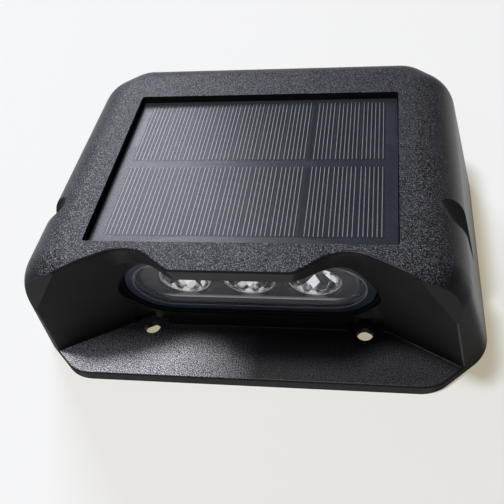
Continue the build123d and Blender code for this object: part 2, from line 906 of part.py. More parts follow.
# Back plate: screw seats, a hole for the button and posts for the control board
with BuildPart() as back_plate:
    with BuildSketch(Plane.XY.offset(plate_recess)):
        add(back_opening.sketch)
        offset(amount=-plate_clearance, kind=Kind.INTERSECTION)
    extrude(amount=plate_thickness)
    with BuildSketch(Plane.XY.offset(plate_top)):
        with Locations(*board_screws):
            Circle(board_post_radius)
    extrude(amount=control_board_height - plate_top)
    with BuildSketch(Plane.XY.offset(control_board_height)):
        with Locations(*board_screws):
            Circle(pilot_radius)
    extrude(amount=-board_screw_length, mode=Mode.SUBTRACT)
    with BuildSketch(Plane.XY.offset(plate_recess)):
        with Locations(*plate_screws):
            Circle(plate_screw_head_radius + head_play)
    extrude(amount=plate_screw_head_height, mode=Mode.SUBTRACT)
    with BuildSketch(Plane.XY.offset(plate_recess)):
        with Locations(*plate_screws):
            Circle(pilot_radius + screw_play)
        with Locations(button_place):
            Circle(button_radius + button_play)
    extrude(amount=plate_thickness, mode=Mode.SUBTRACT)
back_plate.part.label = "back_plate"
export_step(back_plate.part, "parts/back_plate.step")

screw_group(
    "back_plate_screws",
    Plane.XY.offset(plate_recess + plate_screw_head_height),
    -1,
    plate_screws,
    plate_screw_head_radius,
    plate_screw_head_height,
    plate_screw_length,
)

with BuildPart() as back_seal:
    with BuildSketch(Plane.XY.offset(plate_top)):
        add(back_opening.sketch)
        offset(amount=-seal_clearance, kind=Kind.INTERSECTION)
        with BuildSketch(mode=Mode.PRIVATE) as seal_inside:
            add(back_opening.sketch)
            offset(amount=-seal_clearance - seal_width, kind=Kind.INTERSECTION)
        add(seal_inside.sketch, mode=Mode.SUBTRACT)
    extrude(amount=seal_thickness)
back_seal.part.label = "back_seal"
export_step(back_seal.part, "parts/back_seal.step")

# Control board on the back plate's posts, with the parts soldered to it
with BuildPart() as control_board:
    with BuildSketch(Plane.XY.offset(control_board_height)):
        with Locations((0, board_y)):
            RectangleRounded(control_board_width, control_board_length, control_board_round)
        with Locations(*board_screws):
            Circle(pilot_radius + screw_play, mode=Mode.SUBTRACT)
    extrude(amount=control_board_thickness)
control_board.part.label = "control_board"
export_step(control_board.part, "parts/control_board.step")

screw_group(
    "control_board_screws",
    Plane.XY.offset(board_top),
    1,
    board_screws,
    board_screw_head_radius,
    board_screw_head_height,
    board_screw_length,
)


def chip(name, place, length, width, legs):
    """A flat black package with legs along its two long sides."""
    x, y = place
    leg_row = [
        (x + (i - (legs - 1) / 2) * leg_pitch, y + side * (width + leg_length) / 2)
        for i in range(legs)
        for side in (-1, 1)
    ]
    with BuildPart() as package:
        with BuildSketch(Plane.XY.offset(board_top)):
            with Locations((x, y)):
                Rectangle(length, width)
        extrude(amount=controller_height)
        chamfer(package.faces().sort_by(Axis.Z)[-1].edges(), length=leg_thickness)
        with BuildSketch(Plane.XY.offset(board_top)):
            with Locations(*leg_row):
                Rectangle(leg_width, leg_length)
        extrude(amount=leg_thickness)
    package.part.label = name
    export_step(package.part, f"parts/{name}.step")


chip(
    "controller_chip",
    board_place(controller_place_share),
    controller_length,
    controller_width,
    controller_legs,
)
chip("driver_chip", board_place(driver_place_share), driver_length, driver_width, driver_legs)

with BuildPart() as inductor:
    for level, height, radius in (
        (0.0, coil_height, coil_waist),
        (0.0, coil_flange, coil_radius),
        (coil_height - coil_flange, coil_flange, coil_radius),
    ):
        with BuildSketch(Plane.XY.offset(board_top + level)):
            with Locations(board_place(coil_place_share)):
                Circle(radius)
        extrude(amount=height)
inductor.part.label = "inductor"
export_step(inductor.part, "parts/inductor.step")

with BuildPart() as capacitor:
    with BuildSketch(Plane.XY.offset(board_top)):
        with Locations(board_place(capacitor_place_share)):
            Circle(capacitor_radius)
    extrude(amount=capacitor_height)
    fillet(capacitor.faces().sort_by(Axis.Z)[-1].edges(), radius=capacitor_groove)
    with BuildSketch(Plane.XY.offset(board_top + capacitor_groove_height)):
        with Locations(board_place(capacitor_place_share)):
            Circle(capacitor_radius)
            Circle(capacitor_radius - capacitor_groove, mode=Mode.SUBTRACT)
    extrude(amount=2 * capacitor_groove, mode=Mode.SUBTRACT)
capacitor.part.label = "capacitor"
export_step(capacitor.part, "parts/capacitor.step")

with BuildPart() as diode:
    with BuildSketch(Plane.XY.offset(board_top)):
        with Locations(board_place(diode_place_share)):
            Rectangle(diode_length + 2 * diode_foot, diode_width / 2)
    extrude(amount=diode_foot)
    with BuildSketch(Plane.XY.offset(board_top)):
        with Locations(board_place(diode_place_share)):
            Rectangle(diode_length, diode_width)
    extrude(amount=diode_height)
    chamfer(diode.faces().sort_by(Axis.Z)[-1].edges(), length=diode_foot / 2)
diode.part.label = "diode"
export_step(diode.part, "parts/diode.step")

resistor_x, resistor_y = board_place(resistor_place_share)
with BuildPart() as resistors:
    with BuildSketch(Plane.XY.offset(board_top)):
        with Locations((resistor_x, resistor_y)):
            with GridLocations(resistor_pitch, resistor_pitch, resistor_count, 1):
                Rectangle(resistor_width, resistor_length)
    extrude(amount=resistor_height)
resistors.part.label = "resistors"
export_step(resistors.part, "parts/resistors.step")

# Switch under the board, its plunger, the push button and the ring that seals it
with BuildPart() as switch_body:
    with BuildSketch(Plane.XY.offset(switch_bottom)):
        with Locations(button_place):
            Rectangle(switch_size, switch_size)
    extrude(amount=control_board_height - switch_bottom)
    with BuildSketch(Plane.XY.offset(switch_bottom)):
        with Locations(button_place):
            Circle(plunger_radius + plunger_play)
    extrude(amount=plunger_hidden + button_travel + plunger_bore_end, mode=Mode.SUBTRACT)
switch_body.part.label = "switch_body"
export_step(switch_body.part, "parts/switch_body.step")

with BuildPart() as switch_plunger:
    with BuildSketch(Plane.XY.offset(button_flange_top)):
        with Locations(button_place):
            Circle(plunger_radius)
    extrude(amount=switch_bottom + plunger_hidden - button_flange_top)
switch_plunger.part.label = "switch_plunger"
export_step(switch_plunger.part, "parts/switch_plunger.step")

with BuildPart() as push_button:
    with BuildSketch(Plane.XY.offset(button_face)):
        with Locations(button_place):
            Circle(button_radius)
    extrude(amount=button_flange_low - button_face)
    with BuildSketch(Plane.XY.offset(button_flange_low)):
        with Locations(button_place):
            Circle(button_flange_radius)
    extrude(amount=button_flange_height)
    fillet(push_button.faces().sort_by(Axis.Z)[0].edges(), radius=button_dish)
    with BuildSketch(Plane.XY.offset(button_face)):
        with Locations(button_place):
            Circle(button_dish_radius)
    extrude(amount=button_dish, taper=button_dish_lean, mode=Mode.SUBTRACT)
push_button.part.label = "push_button"
export_step(push_button.part, "parts/push_button.step")

with BuildPart() as button_seal:
    with BuildSketch(Plane.XY.offset(plate_top)):
        with Locations(button_place):
            Circle(button_radius + button_seal_play + button_seal_width)
            Circle(button_radius + button_seal_play, mode=Mode.SUBTRACT)
    extrude(amount=button_seal_height)
button_seal.part.label = "button_seal"
export_step(button_seal.part, "parts/button_seal.step")

# Battery cell lying across the light, its cap towards plus x
cell_left = -cell_span / 2
across = Plane(origin=(cell_left, battery_y, battery_z), x_dir=(0, 1, 0), z_dir=(1, 0, 0))
with BuildPart() as battery_cell:
    with BuildSketch(across):
        Circle(battery_radius)
    extrude(amount=battery_length)
    fillet(battery_cell.edges(), radius=battery_edge_round)
    with BuildSketch(across.offset(battery_length)):
        Circle(battery_cap_radius)
    extrude(amount=battery_cap_height)
battery_cell.part.label = "battery_cell"
export_step(battery_cell.part, "parts/battery_cell.step")

# Cradle: a half shell open towards the back, with an ear at each end
with BuildPart() as battery_cradle:
    with BuildSketch(across.offset(cell_span / 2 - cradle_length / 2)):
        with Locations((0, (roof_under + cradle_bottom) / 2 - battery_z)):
            Rectangle(cradle_width, roof_under - cradle_bottom)
    extrude(amount=cradle_length)
    with BuildSketch(across.offset(cell_span / 2 - cradle_inner_length / 2)):
        Circle(cradle_inner_radius)
        with Locations((0, -cradle_inner_radius)):
            Rectangle(2 * cradle_inner_radius, 2 * cradle_inner_radius)
    extrude(amount=cradle_inner_length, mode=Mode.SUBTRACT)
    with BuildSketch(Plane.XY.offset(cradle_bottom)):
        with Locations(*cradle_screws):
            Circle(cradle_post_radius)
        with Locations((0, battery_y)):
            Rectangle(2 * cradle_post_x, 2 * cradle_post_radius)
            Rectangle(cradle_inner_length, 2 * cradle_post_radius, mode=Mode.SUBTRACT)
        with Locations(*cradle_screws):
            Circle(pilot_radius + screw_play, mode=Mode.SUBTRACT)
    extrude(amount=cradle_ear_thickness)
battery_cradle.part.label = "battery_cradle"
export_step(battery_cradle.part, "parts/battery_cradle.step")

screw_group(
    "cradle_screws",
    Plane.XY.offset(cradle_bottom),
    -1,
    cradle_screws,
    cradle_screw_head_radius,
    cradle_screw_head_height,
    cradle_screw_length,
)

# Battery contacts: leaves against the cradle's ends, dimpled towards the cell
contact_low = battery_z - contact_height / 2
contact_reach = contact_room - contact_thickness
contact_x = cradle_inner_length / 2 - contact_thickness
for contact_name, side in (("plus", 1), ("minus", -1)):
    leaf = Plane(
        origin=(side * contact_x, battery_y, battery_z),
        x_dir=(0, side, 0),
        z_dir=(side, 0, 0),
    )
    with BuildPart() as contact:
        with BuildSketch(leaf):
            Rectangle(contact_width, contact_height)
            with Locations((0, -(contact_height + contact_tab_length) / 2)):
                Rectangle(contact_tab_width, contact_tab_length)
        extrude(amount=contact_thickness)
        with BuildSketch(leaf):
            Circle(contact_dimple_radius)
        extrude(amount=-contact_reach, taper=contact_dimple_lean)
    contact.part.label = f"battery_{contact_name}_contact"
    export_step(contact.part, f"parts/battery_{contact_name}_contact.step")


def lead(name, route):
    """A round lead along straight runs joined by the widest arcs that they allow."""
    points = [Vector(*point) for point in route]
    radii = []
    for before, corner, after in zip(points, points[1:], points[2:]):
        shorter = min((corner - before).length, (after - corner).length)
        turn = (corner - before).get_angle(after - corner)
        radii.append(lead_bend_share * shorter / tan(radians(turn / 2)))
    with BuildPart() as tube:
        with BuildLine() as path:
            FilletPolyline(*points, radius=radii)
        run = path.wires()[0]
        with BuildSketch(Plane(origin=run @ 0, z_dir=run % 0)):
            Circle(lead_radius)
        sweep(path=run)
    print(name, "bend radii", [round(radius, 1) for radius in radii])
    print(name, "volume share", round(tube.part.volume / (run.length * pi * lead_radius**2), 4))
    tube.part.label = name
    export_step(tube.part, f"parts/{name}.step")


def along_route(first, last, shares):
    """A route from first to last by way of points given as shares of the way in X, Y and Z."""
    middle = [
        tuple(near + (far - near) * share for near, far, share in zip(first, last, shares_here))
        for shares_here in shares
    ]
    return [first, *middle, last]


panel_lead_y = at_reach(panel_lead_hole_reach)
for lead_name, shift in (("plus", lead_pitch / 2), ("minus", -lead_pitch / 2)):
    pad = (shift + panel_lead_aside, panel_lead_y + panel_lead_along, board_top)
    route = along_route((shift, panel_lead_y, panel_bottom), pad, panel_lead_shares)
    lead(f"panel_lead_{lead_name}", route)

battery_tab_z = contact_low - contact_tab_length
for lead_name, side in (("plus", 1), ("minus", -1)):
    tab = (side * (contact_x + contact_thickness / 2), battery_y, battery_tab_z)
    pad = (side * battery_pad_across, board_y + battery_pad_along, board_top)
    lead(f"battery_lead_{lead_name}", along_route(tab, pad, battery_lead_shares))

lamp_board_rear = lamp_level(lamp_board_back)
for lead_name, side in (("plus", 1), ("minus", -1)):
    joint = lamp_board_rear.from_local_coords((side * lamp_joint_across, -lamp_joint_drop, 0))
    pad = (side * lamp_pad_across, board_y - lamp_pad_back, board_top)
    lead(f"led_lead_{lead_name}", along_route(tuple(joint), pad, lamp_lead_shares))
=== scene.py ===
# %% [markdown]
# # A solar wall light, lying on its back
#
# This notebook dresses the CAD model of a small solar wall light. The CAD already holds every
# piece at its real size, so nothing is moved or resized here. What is left is what the eye
# meets: the grain of the black plastic, the grey fingers printed on the solar cells, the bright
# cups behind the lens, and the light that falls on them. The first cell loads the model as a
# fixed frame. Everything that follows is in metres, in that same frame: x runs across the light,
# y up the wall that it hangs on, and z out of that wall.

# %% Load the frame
from math import cos, pi, radians, sin

import bmesh
import bpy
from mathutils import Matrix, Vector


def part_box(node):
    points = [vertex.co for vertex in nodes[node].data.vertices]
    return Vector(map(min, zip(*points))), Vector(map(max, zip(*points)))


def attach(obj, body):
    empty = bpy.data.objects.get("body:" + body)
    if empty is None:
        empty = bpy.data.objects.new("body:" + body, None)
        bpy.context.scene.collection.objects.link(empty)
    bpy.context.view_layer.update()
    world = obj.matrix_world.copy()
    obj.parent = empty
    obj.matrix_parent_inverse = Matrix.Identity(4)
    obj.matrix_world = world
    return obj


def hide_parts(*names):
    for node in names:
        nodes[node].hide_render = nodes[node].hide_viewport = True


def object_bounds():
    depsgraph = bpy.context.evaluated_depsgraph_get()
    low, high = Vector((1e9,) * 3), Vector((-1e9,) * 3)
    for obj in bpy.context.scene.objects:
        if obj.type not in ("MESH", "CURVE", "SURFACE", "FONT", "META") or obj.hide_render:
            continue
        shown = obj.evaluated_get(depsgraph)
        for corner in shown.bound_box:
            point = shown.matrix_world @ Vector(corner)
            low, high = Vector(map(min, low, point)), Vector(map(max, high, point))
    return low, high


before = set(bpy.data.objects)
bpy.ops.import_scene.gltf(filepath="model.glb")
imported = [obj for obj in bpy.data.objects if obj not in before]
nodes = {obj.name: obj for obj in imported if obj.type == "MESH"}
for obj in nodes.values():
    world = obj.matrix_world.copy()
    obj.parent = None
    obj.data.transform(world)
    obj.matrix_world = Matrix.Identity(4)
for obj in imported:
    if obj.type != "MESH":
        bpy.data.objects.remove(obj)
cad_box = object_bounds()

MM = 0.001
cad_size = cad_box[1] - cad_box[0]
print("CAD nodes:", len(nodes))
print("CAD size in mm:", [round(side / MM, 1) for side in cad_size])

# %% [markdown]
# ## Colours and nodes
#
# A colour picked from a picture is an sRGB value, but shader sockets hold linear light. The
# first function turns one into the other, so every colour below can be read as a hex code. The
# next two build all the node trees of this notebook. `fill` gives a node its inputs, by name or
# as a list in the node's own order. An input that is a node, or one of a node's outputs, becomes
# a link, and anything else becomes a value. `add_node` adds a node with its settings and fills it.
# A Mix node has sockets for every type of data, and its two colours are inputs 6 and 7.

# %% Helpers for colours and nodes
def srgb(code):
    """Turn an sRGB hex colour into the linear colour that a socket takes."""
    parts = [int(code[start:start + 2], 16) / 255 for start in (1, 3, 5)]
    linear = [p / 12.92 if p <= 0.04045 else ((p + 0.055) / 1.055) ** 2.4 for p in parts]
    return (*linear, 1.0)


def fill(tree, node, inputs):
    """Link or fill inputs of a node. A node given as a value is read at its first live output."""
    pairs = inputs.items() if isinstance(inputs, dict) else enumerate(inputs)
    for name, value in pairs:
        if isinstance(value, bpy.types.Node):
            value = next(socket for socket in value.outputs if socket.enabled)
        if isinstance(value, bpy.types.NodeSocket):
            tree.links.new(value, node.inputs[name])
        else:
            node.inputs[name].default_value = value


def add_node(tree, kind, inputs=(), **settings):
    """Add a node with its settings, then link or fill its inputs."""
    made = tree.nodes.new(kind)
    for field, value in settings.items():
        setattr(made, field, value)
    fill(tree, made, inputs)
    return made


print("black plastic as linear light:", [round(part, 4) for part in srgb("#17181b")])

# %% [markdown]
# ## Starting a finish and putting it on
#
# Each finish is one Principled shader with patterns linked to its sockets. Its patterns read
# Object coordinates, which are real metres here, so a grain of 0.27 mm can be asked for as
# 0.27 mm. A CAD node already has slots for its materials, and `dress` fills them.

# %% Helpers for a finish
def start_finish(name, roughness=0.5, metallic=0.0, ior=1.5, alpha=1.0):
    """Make a material with one Principled shader, and return what a pattern needs."""
    material = bpy.data.materials.new(name)
    material.use_nodes = True
    tree = material.node_tree
    tree.nodes.clear()
    place = add_node(tree, "ShaderNodeTexCoord").outputs["Object"]
    values = {"Roughness": roughness, "Metallic": metallic, "IOR": ior, "Alpha": alpha}
    shader = add_node(tree, "ShaderNodeBsdfPrincipled", values)
    add_node(tree, "ShaderNodeOutputMaterial", {"Surface": shader})
    return material, tree, place, shader


def dress(material, *names):
    """Give a finish to whole CAD nodes through their own material slots."""
    for name in names:
        for material_slot in nodes[name].material_slots:
            material_slot.material = material
    print(material.name, "on", ", ".join(names))


# %% [markdown]
# ## Three patterns that most finishes share
#
# Nothing real has one flat colour. Dust, handling and the flow of plastic in its mould shift the
# tone a little from place to place, and every surface is a little rough. `clouded` blends two
# near colours by a noise of a chosen size, `pitted` turns a noise into a bump of a chosen depth,
# and `scuffed` lets the roughness wander between two values. Most moulded pieces need only clouds
# and pits, so `plain_finish` makes such a finish in one call.

# %% Clouds, pits and scuffs
cloud_low = 0.35
cloud_high = 0.65
scuff_low = 0.3
scuff_high = 0.7


def clouded(tree, place, size, dark, light):
    """Two near colours blended by a noise of one size."""
    blobs = add_node(tree, "ShaderNodeTexNoise", {"Vector": place, "Scale": 1 / size})
    share = add_node(tree, "ShaderNodeMapRange", [blobs, cloud_low, cloud_high])
    colours = {0: share, 6: srgb(dark), 7: srgb(light)}
    return add_node(tree, "ShaderNodeMix", colours, data_type="RGBA")


def pitted(tree, place, size, depth):
    """Pits of one size as a bump that is depth deep."""
    blobs = add_node(tree, "ShaderNodeTexNoise", {"Vector": place, "Scale": 1 / size})
    return add_node(tree, "ShaderNodeBump", {"Height": blobs, "Distance": depth})


def scuffed(tree, place, size, bright, dull):
    """A roughness that wanders between a bright and a dull value."""
    blobs = add_node(tree, "ShaderNodeTexNoise", {"Vector": place, "Scale": 1 / size})
    return add_node(tree, "ShaderNodeMapRange", [blobs, scuff_low, scuff_high, bright, dull])


def plain_finish(name, dressed, cloud, pits, **values):
    """A finish of clouds (size and two colours) and pits (size and depth), put on some nodes."""
    material, tree, place, shader = start_finish(name, **values)
    patterns = {"Base Color": clouded(tree, place, *cloud), "Normal": pitted(tree, place, *pits)}
    fill(tree, shader, patterns)
    dress(material, *dressed)


# %% [markdown]
# ## Camera
#
# The camera stands where the photograph was taken: low in front of the lamp end, a little to
# the right, and rolled by about nine degrees. Its place and its three axes were worked out from
# the corners of the housing. Blender wants a camera whose own z axis points back from the scene,
# so the three axes are the columns of its rotation.

# %% Camera
camera_place = Vector((33.8, -164.6, 161.0)) * MM
camera_right = Vector((0.98500691, 0.13370518, -0.10901521))
camera_up = Vector((-0.01591441, 0.69964779, 0.71431065))
camera_back = camera_right.cross(camera_up)
camera_lens = 52.64
sensor_width = 36.0
nearest_seen = 10 * MM

camera_data = bpy.data.cameras.new("camera")
camera_data.lens = camera_lens
camera_data.sensor_width = sensor_width
camera_data.clip_start = nearest_seen
camera = bpy.data.objects.new("camera", camera_data)
turn = Matrix((camera_right, camera_up, camera_back)).transposed().to_4x4()
camera.matrix_world = Matrix.Translation(camera_place) @ turn
bpy.context.scene.collection.objects.link(camera)
bpy.context.scene.camera = camera
bpy.context.scene.view_settings.view_transform = "Standard"
print("camera stands", round(camera_place.length / MM), "mm from the origin")

# %% [markdown]
# ## Floor
#
# The light lies on a white table. A large flat sheet does, just under the housing so that the
# two never flicker. In the photograph its shadows are warm and light, as on a product sheet whose
# background was lifted. So where a ray comes straight from the camera, or off something glossy,
# the sheet also glows a little, and the shadow on it stays pale. Light that the sheet sends to the
# object is that of the plain white laminate.

# %% Floor sheet
floor_half = 3.0
floor_drop = 0.05 * MM

floor_mesh = bpy.data.meshes.new("floor")
corner_signs = [(-1, -1), (1, -1), (1, 1), (-1, 1)]
floor_corners = [(x * floor_half, y * floor_half, -floor_drop) for x, y in corner_signs]
floor_mesh.from_pydata(floor_corners, [], [(0, 1, 2, 3)])
floor = bpy.data.objects.new("floor", floor_mesh)
bpy.context.scene.collection.objects.link(floor)
print("floor is", 2 * floor_half, "m wide")

# %% Floor finish
# Matt white laminate: bright and even, with no shine of its own and a warm, pale shadow.
floor_white = "#f4f3f1"
floor_seen = "#b3bbcb"
floor_glow = "#a79e84"

laminate, tree, place, shader = start_finish("matt_white_laminate", roughness=0.9, ior=1.3)
rays = add_node(tree, "ShaderNodeLightPath").outputs
first_rays = [rays["Is Camera Ray"], rays["Is Glossy Ray"]]
seen_or_glossy = add_node(tree, "ShaderNodeMath", first_rays, operation="MAXIMUM")
all_rays = [seen_or_glossy, rays["Is Transmission Ray"]]
straight = add_node(tree, "ShaderNodeMath", all_rays, operation="MAXIMUM")
seen_colours = {0: straight, 6: srgb(floor_white), 7: srgb(floor_seen)}
seen = add_node(tree, "ShaderNodeMix", seen_colours, data_type="RGBA")
glow = {"Emission Color": srgb(floor_glow), "Emission Strength": straight}
fill(tree, shader, {"Base Color": seen, **glow})
floor_mesh.materials.append(laminate)
print(laminate.name, "on the floor")

# %% [markdown]
# ## Lamps
#
# Two patches of light on the flange show where the main lamp hangs: nearly overhead, a little
# to the left and a little in front. A second, broad and soft light stands behind on the left
# like a window, and the solar panel mirrors it. A weak third one, high in front, is there for the
# cups alone: their facets catch it as sparkles. The light of a lamp thins out with the square of
# its distance, so the function asks for what a lamp adds to a white floor, and works out its power.

# %% Lamps
def area_light(name, toward, distance, width, height, brightness, colour):
    """A rectangular lamp that faces the origin. Brightness is what it adds to a white floor."""
    direction = Vector(toward).normalized()
    data = bpy.data.lights.new(name, "AREA")
    data.shape = "RECTANGLE"
    data.size = width
    data.size_y = height
    data.energy = brightness * pi * pi * distance**2 / direction.z
    data.color = srgb(colour)[:3]
    lamp = bpy.data.objects.new(name, data)
    lamp_turn = direction.to_track_quat("Z", "Y").to_matrix().to_4x4()
    lamp.matrix_world = Matrix.Translation(direction * distance) @ lamp_turn
    bpy.context.scene.collection.objects.link(lamp)
    print(name, "power:", round(data.energy, 1), "W")


area_light(
    "key",
    toward=(-0.28, -0.15, 0.95),
    distance=2.4,
    width=0.34,
    height=0.34,
    brightness=0.77,
    colour="#fffdfa",
)
area_light(
    "window",
    toward=(-0.37, 0.71, 0.60),
    distance=2.8,
    width=0.96,
    height=0.90,
    brightness=0.28,
    colour="#f2f4ff",
)
area_light(
    "ceiling",
    toward=(-0.16, -0.62, 0.77),
    distance=1.9,
    width=1.60,
    height=1.10,
    brightness=0.11,
    colour="#fbfaff",
)

# %% [markdown]
# ## The room around
#
# Black plastic shows little colour of its own. Most of what is seen on it is the room, mirrored
# and blurred. So the world is not one grey: it is paler along the horizon on the left, where a
# room's lit walls would be, and dark above and to the right, which keeps the plastic's depth. For
# a world, Generated coordinates are simply the direction that a ray looks in.

# %% World
lit_wall = "#97989b"
dark_wall = "#3c3d40"
room_top = "#2a2c30"
wall_height = 0.10
top_height = 0.45
lit_side = -0.2
dark_side = 0.6

world = bpy.data.worlds.new("pale_room")
world.use_nodes = True
tree = world.node_tree
tree.nodes.clear()
direction = add_node(tree, "ShaderNodeTexCoord").outputs["Generated"]
looking = add_node(tree, "ShaderNodeSeparateXYZ", [direction]).outputs
rise = add_node(tree, "ShaderNodeMapRange", [looking["Z"], wall_height, top_height])
rightward = add_node(tree, "ShaderNodeMapRange", [looking["X"], lit_side, dark_side])
wall_colours = {0: rightward, 6: srgb(lit_wall), 7: srgb(dark_wall)}
walls = add_node(tree, "ShaderNodeMix", wall_colours, data_type="RGBA")
room_colours = {0: rise, 6: walls, 7: srgb(room_top)}
room = add_node(tree, "ShaderNodeMix", room_colours, data_type="RGBA")
background = add_node(tree, "ShaderNodeBackground", {"Color": room, "Strength": 1.0})
add_node(tree, "ShaderNodeOutputWorld", {"Surface": background})
bpy.context.scene.world = world
print("world runs from", lit_wall, "at the lit wall to", room_top, "above")

# %% [markdown]
# ## The black housing
#
# The housing is ABS, an ordinary hard plastic, moulded in a steel mould. The mould is etched
# where the light faces the garden, which leaves a fine worm-like grain, and it is polished inside
# the lamp bay. So one finish has to know where it is. Faces that look up, the roof and the
# flange, get the full grain. The outer walls get a weak one, because the plastic slides out of
# the mould along them. The bay has none of the full grain: there the normal points to the middle,
# so x and the normal's x have opposite signs. This cell works out each place as a value from 0
# to 1, with one Math node for each step.

# %% Where the mould was etched
roof_level = 38 * MM
flange_level = 3.3 * MM
bay_half_width = 46 * MM
side_margin = 1 * MM
front_facing = 0.6
upward_start = 0.70
upward_full = 0.97

abs_grained, tree, place, shader = start_finish("grained_black_abs", ior=1.26)
facing = add_node(tree, "ShaderNodeTexCoord").outputs["Normal"]
normal_x, normal_y, normal_z = add_node(tree, "ShaderNodeSeparateXYZ", [facing]).outputs
place_x, place_y, place_z = add_node(tree, "ShaderNodeSeparateXYZ", [place]).outputs

outwardness = add_node(tree, "ShaderNodeMath", [normal_x, place_x], operation="MULTIPLY")
towards_middle = add_node(tree, "ShaderNodeMath", [outwardness, -side_margin], operation="LESS_THAN")
facing_front = add_node(tree, "ShaderNodeMath", [normal_y, -front_facing], operation="LESS_THAN")
off_middle = add_node(tree, "ShaderNodeMath", [place_x], operation="ABSOLUTE")
within_bay = add_node(tree, "ShaderNodeMath", [off_middle, bay_half_width], operation="LESS_THAN")
lamp_wall = add_node(tree, "ShaderNodeMath", [facing_front, within_bay], operation="MULTIPLY")
polished = add_node(tree, "ShaderNodeMath", [towards_middle, lamp_wall], operation="MAXIMUM")
etched = add_node(tree, "ShaderNodeMath", [1.0, polished], operation="SUBTRACT")

upward = add_node(tree, "ShaderNodeMapRange", [normal_z, upward_start, upward_full])
on_roof = add_node(tree, "ShaderNodeMath", [place_z, roof_level], operation="GREATER_THAN")
on_flange = add_node(tree, "ShaderNodeMath", [place_z, flange_level], operation="LESS_THAN")
grained_level = add_node(tree, "ShaderNodeMath", [on_roof, on_flange], operation="MAXIMUM")
level_face = add_node(tree, "ShaderNodeMath", [upward, grained_level], operation="MULTIPLY")
full_grain = add_node(tree, "ShaderNodeMath", [level_face, etched], operation="MULTIPLY")
flange_top = add_node(tree, "ShaderNodeMath", [on_flange, upward], operation="MULTIPLY")
print("full grain above", round(roof_level / MM), "mm and below", round(flange_level / MM, 1), "mm")

# %% [markdown]
# The tops of the grain are paler than its valleys, partly the grain's own tone and partly a painted
# highlight for its sparkle. On the roof this painted sparkle is strongest on the left and fades to the
# right, as the light falls. The bump further down uses the same noise, so that colour and relief
# agree.

# %% Colour of the roof
grain_size = 0.27 * MM
roof_ridge_low = 0.52
roof_ridge_high = 0.66
fade_half_width = 50 * MM
painted_sparkle_right = 0.55
abs_cloud_size = 9 * MM

worms = add_node(tree, "ShaderNodeTexNoise", {"Vector": place, "Scale": 1 / grain_size, "Detail": 1.0})
ridges = add_node(tree, "ShaderNodeMapRange", [worms, roof_ridge_low, roof_ridge_high])
grained_ridges = add_node(tree, "ShaderNodeMath", [ridges, full_grain], operation="MULTIPLY")
roof_ridges = add_node(tree, "ShaderNodeMath", [grained_ridges, on_roof], operation="MULTIPLY")
# Painted light: the paler ridges fade from left to right, a painted sparkle that is strongest where
# the light falls.
fade = [place_x, -fade_half_width, fade_half_width, 1, painted_sparkle_right]
painted_sparkle_fade = add_node(tree, "ShaderNodeMapRange", fade)
roof_share = add_node(tree, "ShaderNodeMath", [roof_ridges, painted_sparkle_fade], operation="MULTIPLY")
tone = clouded(tree, place, abs_cloud_size, "#0f1012", "#141517")
# The ridge colour is partly the grain's own paler tone and partly a painted highlight.
roof_colours = {0: roof_share, 6: tone, 7: srgb("#8b8c99")}
roof_tone = add_node(tree, "ShaderNodeMix", roof_colours, data_type="RGBA")
print("grain is", round(grain_size / MM, 2), "mm wide")

# %% [markdown]
# A pool of light from the main lamp is painted on the front left of the flange, pale on the ridges of
# the grain. The painted light falls off to the right and to the back.

# %% Painted light on the flange
painted_light_ridge_low = 0.48
painted_light_ridge_high = 0.60
painted_light_left = -22 * MM
painted_light_right = 2 * MM
painted_light_share_right = 0.06
painted_light_front = -45 * MM
painted_light_back = -36 * MM
painted_light_share_back = 0.10

# Painted light: a pale pool of lamp light on the ridges of the flange's grain.
painted_light_ridges = add_node(tree, "ShaderNodeMapRange", [worms, painted_light_ridge_low, painted_light_ridge_high])
painted_light_colours = {0: painted_light_ridges, 6: srgb("#5c5d67"), 7: srgb("#f6f5ff")}
painted_light_tone = add_node(tree, "ShaderNodeMix", painted_light_colours, data_type="RGBA")
across = [place_x, painted_light_left, painted_light_right, 1, painted_light_share_right]
painted_light_across = add_node(tree, "ShaderNodeMapRange", across)
along = [place_y, painted_light_front, painted_light_back, 1, painted_light_share_back]
painted_light_along = add_node(tree, "ShaderNodeMapRange", along)
painted_light_patch = add_node(tree, "ShaderNodeMath", [painted_light_across, painted_light_along], operation="MULTIPLY")
painted_light = add_node(tree, "ShaderNodeMath", [flange_top, painted_light_patch], operation="MULTIPLY")
housing_colours = {0: painted_light, 6: roof_tone, 7: painted_light_tone}
housing_tone = add_node(tree, "ShaderNodeMix", housing_colours, data_type="RGBA")
fill(tree, shader, {"Base Color": housing_tone})
print("dust fades between", round(painted_light_left / MM), "and", round(painted_light_right / MM), "mm")

# %% [markdown]
# The grain spreads the shine a little. The two slanted corners at the front are more matt than
# the rest. Their normals have both a sideways and a forward part, so the product of the two
# finds them.

# %% Shine of the housing
wall_roughness = 0.36
grain_roughness = 0.42
corner_roughness = 0.75
corner_start = 0.20
corner_full = 0.40

sideways = add_node(tree, "ShaderNodeMath", [normal_x], operation="ABSOLUTE")
forward = add_node(tree, "ShaderNodeMath", [normal_y, -1], operation="MULTIPLY")
corner_face = add_node(tree, "ShaderNodeMath", [sideways, forward], operation="MULTIPLY")
matt_corner = add_node(tree, "ShaderNodeMapRange", [corner_face, corner_start, corner_full])
gloss = add_node(tree, "ShaderNodeMapRange", [full_grain, 0, 1, wall_roughness, grain_roughness])
shine = add_node(tree, "ShaderNodeMapRange", [matt_corner, 0, 1, gloss, corner_roughness])
fill(tree, shader, {"Roughness": shine})
print("roughness from", wall_roughness, "on walls to", corner_roughness, "on the front corners")

# %% [markdown]
# The bump is full on the roof and the flange, runs on over the roundings of the roof, and stays
# weak elsewhere. At 0.07 mm it is about as deep as a coarse etched grain is.

# %% Relief of the grain
grain_depth = 0.07 * MM
rounding_start = 0.10
rounding_full = 0.50
rounding_foot = 30 * MM
rounding_top = 37 * MM
weak_grain = 0.12

